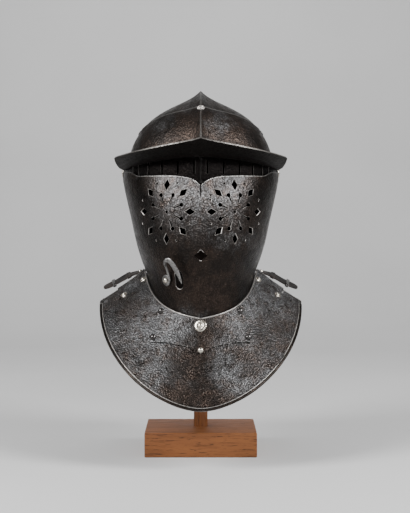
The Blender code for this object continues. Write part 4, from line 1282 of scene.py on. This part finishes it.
# Columns: share along the bar, then across, up and out from the rivet, as shares of HOOK_REACH, then half
# width and half thickness in mm.
HOOK_ROUTE = (
    (0.00, 0.215, 0.00, 0.080, 1.7, 0.9),
    (0.15, 0.290, 0.06, 0.085, 1.7, 1.1),
    (0.35, 0.330, 0.45, 0.180, 1.5, 1.4),
    (0.52, 0.430, 0.84, 0.340, 1.6, 1.6),
    (0.66, 0.620, 1.00, 0.400, 2.5, 1.5),
    (0.78, 0.840, 0.92, 0.350, 4.0, 1.2),
    (0.90, 1.060, 0.45, 0.230, 4.2, 1.0),
    (1.00, 1.230, -0.10, 0.180, 0.8, 0.7),
)


def hook_frame():
    centre, normal = guard_at(HOOK_X, HOOK_HEIGHT)
    right, up = tangent_frame(normal)
    return Matrix((
        (right.x, up.x, normal.x, centre.x),
        (right.y, up.y, normal.y, centre.y),
        (right.z, up.z, normal.z, centre.z),
        (0, 0, 0, 1),
    ))


def build_hook():
    place_hook = hook_frame()

    def centre_at(share):
        row = table_row(HOOK_ROUTE, share)
        return Vector(row[1:4]) * HOOK_REACH

    def place(around, along):
        row = table_row(HOOK_ROUTE, along)
        ahead = (centre_at(min(along + 0.01, 1.0)) - centre_at(max(along - 0.01, 0.0))).normalized()
        across = ahead.cross(Vector((0, 0, 1))).normalized()
        out = across.cross(ahead)
        end = min(1 - along, along) / 0.03
        pinch = math.sqrt(max(1 - (1 - min(end, 1.0)) ** 2, 0.0))
        knuckle = 1 + 0.28 * sum(math.exp(-(((along - spot) / 0.022) ** 2)) for spot in (0.50, 0.58, 0.66))
        turn = around * 2 * math.pi
        wide = across * math.cos(turn) * row[4] * MM * knuckle
        tall = out * math.sin(turn) * row[5] * MM * knuckle
        return place_hook @ (centre_at(along) + (wide + tall) * pinch)

    bar = tube("hook_blade", 20, 110, place, [hook_steel])
    low, high = 0.5 * MM, 2.1 * MM

    def eye(bm):
        profile = [
            (2.3 * MM, low), (7.3 * MM, low), (7.5 * MM, low + 0.3 * MM), (7.5 * MM, high - 0.4 * MM),
            (7.0 * MM, high), (2.3 * MM, high), (2.3 * MM, low),
        ]
        lathe(bm, profile, 48, place_hook)
        bmesh.ops.recalc_face_normals(bm, faces=bm.faces)

    cut(bar, [filled("eye", eye, [hook_steel])], "UNION")
    settle(bar, 45)
    finish_piece(bar, "hook", "dark_steel", "cheek_hook")

    def head(bm):
        cap = high + FIT
        profile = dome(4 * MM, 3.2 * MM, 10, cap)
        profile += [(2 * MM, cap), (2 * MM, -1 * MM), (0, -1 * MM)]
        lathe(bm, profile, 32, place_hook)
        bmesh.ops.recalc_face_normals(bm, faces=bm.faces)

    rivet_head = filled("hook_rivet_head", head, [bright_metal])
    rivet_head.data.shade_smooth()
    rivet_head.data.set_sharp_from_angle(angle=math.radians(50))
    finish_piece(rivet_head, "face_guard", "worn_steel", "hook_rivet")


# Stand


def build_stand():
    def block(bm):
        box_cutter(bm, (-BLOCK_WIDTH / 2, -BLOCK_DEPTH / 2, 0), (BLOCK_WIDTH / 2, BLOCK_DEPTH / 2, BLOCK_HEIGHT))
        bmesh.ops.bevel(
            bm, geom=bm.edges[:], offset=1.4 * MM, segments=4, affect="EDGES", profile=0.5, material=-1
        )

    base = filled("block", block, [block_wood])
    settle(base, 40)
    finish_piece(base, ROOT, "wood", "stand_block")

    low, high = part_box("stand_post")
    middle = high.z - POST_HEAD_RADIUS
    profile = [
        (POST_HEAD_RADIUS * math.sin(math.radians(turn)), middle + POST_HEAD_RADIUS * math.cos(math.radians(turn)))
        for turn in range(0, 91, 6)
    ]
    profile += [(POST_RADIUS, middle - POST_HEAD_HEIGHT), (POST_RADIUS, low.z), (0, low.z)]

    def post(bm):
        lathe(bm, profile, 48, Matrix.Identity(4))
        bmesh.ops.recalc_face_normals(bm, faces=bm.faces)

    stem = filled("post", post, [post_wood])
    settle(stem, 40)
    finish_piece(stem, ROOT, "wood", "stand_post")


build_skull()
build_visor()
build_face_guard()
build_gorget()
build_rivets()
build_straps()
build_hook()
build_stand()


# Floor, light and camera


SWEEP_RADIUS = 1.2


def build_stage():
    def sweep(bm):
        made = bmesh.ops.create_grid(bm, x_segments=2, y_segments=120, size=0.5)
        for vert in made["verts"]:
            along = (vert.co.y + 0.5) * 9
            turn = min(max((along - 5.4) / SWEEP_RADIUS, 0), math.pi / 2)
            rest = max(along - 5.4 - SWEEP_RADIUS * math.pi / 2, 0)
            y = min(along, 5.4) - 4 + SWEEP_RADIUS * math.sin(turn)
            vert.co = Vector((vert.co.x * 10, y, SWEEP_RADIUS * (1 - math.cos(turn)) + rest))
        bmesh.ops.recalc_face_normals(bm, faces=bm.faces)

    n = Nodes("floor_paint")
    tone = n.noise(1.5, 3, 0.5)
    n.set("Base Color", n.mix(n.span(tone, 0.3, 0.7), (0.50, 0.50, 0.50), (0.54, 0.54, 0.54)))
    n.set("Roughness", 0.85)
    floor = filled("floor", sweep, [n.material])
    floor.data.shade_smooth()

    world = bpy.data.worlds.new("studio")
    world.use_nodes = True
    world.node_tree.nodes["Background"].inputs["Color"].default_value = (0.50, 0.50, 0.51, 1)
    world.node_tree.nodes["Background"].inputs["Strength"].default_value = 0.16
    bpy.context.scene.world = world

    for name, place, size, power, target in (
        ("left_box", (-1.10, -0.80, 1.12), (0.60, 0.85), 42, (0, -0.05, 0.25)),
        ("right_box", (1.15, -0.72, 1.10), (0.60, 0.85), 42, (0, -0.05, 0.25)),
        ("front_box", (0.25, -2.6, 0.95), (1.0, 0.6), 12, (0, -0.05, 0.25)),
        ("back_box", (0.0, 0.7, 2.2), (2.6, 0.6), 50, (0, 3.2, 0.9)),
    ):
        light = bpy.data.lights.new(name, "AREA")
        light.shape = "RECTANGLE"
        light.size, light.size_y = size
        light.energy = power
        lamp = bpy.data.objects.new(name, light)
        lamp.location = place
        aim = Vector(target) - Vector(place)
        lamp.rotation_euler = aim.to_track_quat("-Z", "Y").to_euler()
        bpy.context.scene.collection.objects.link(lamp)

    camera = bpy.data.cameras.new("camera")
    camera.lens = 90.15
    camera.sensor_width = 36
    view = bpy.data.objects.new("camera", camera)
    view.location = (0, -1.760, 0.323)
    view.rotation_euler = (math.radians(90 - 1.858), 0, math.radians(-0.19))
    bpy.context.scene.collection.objects.link(view)
    bpy.context.scene.camera = view


build_stage()
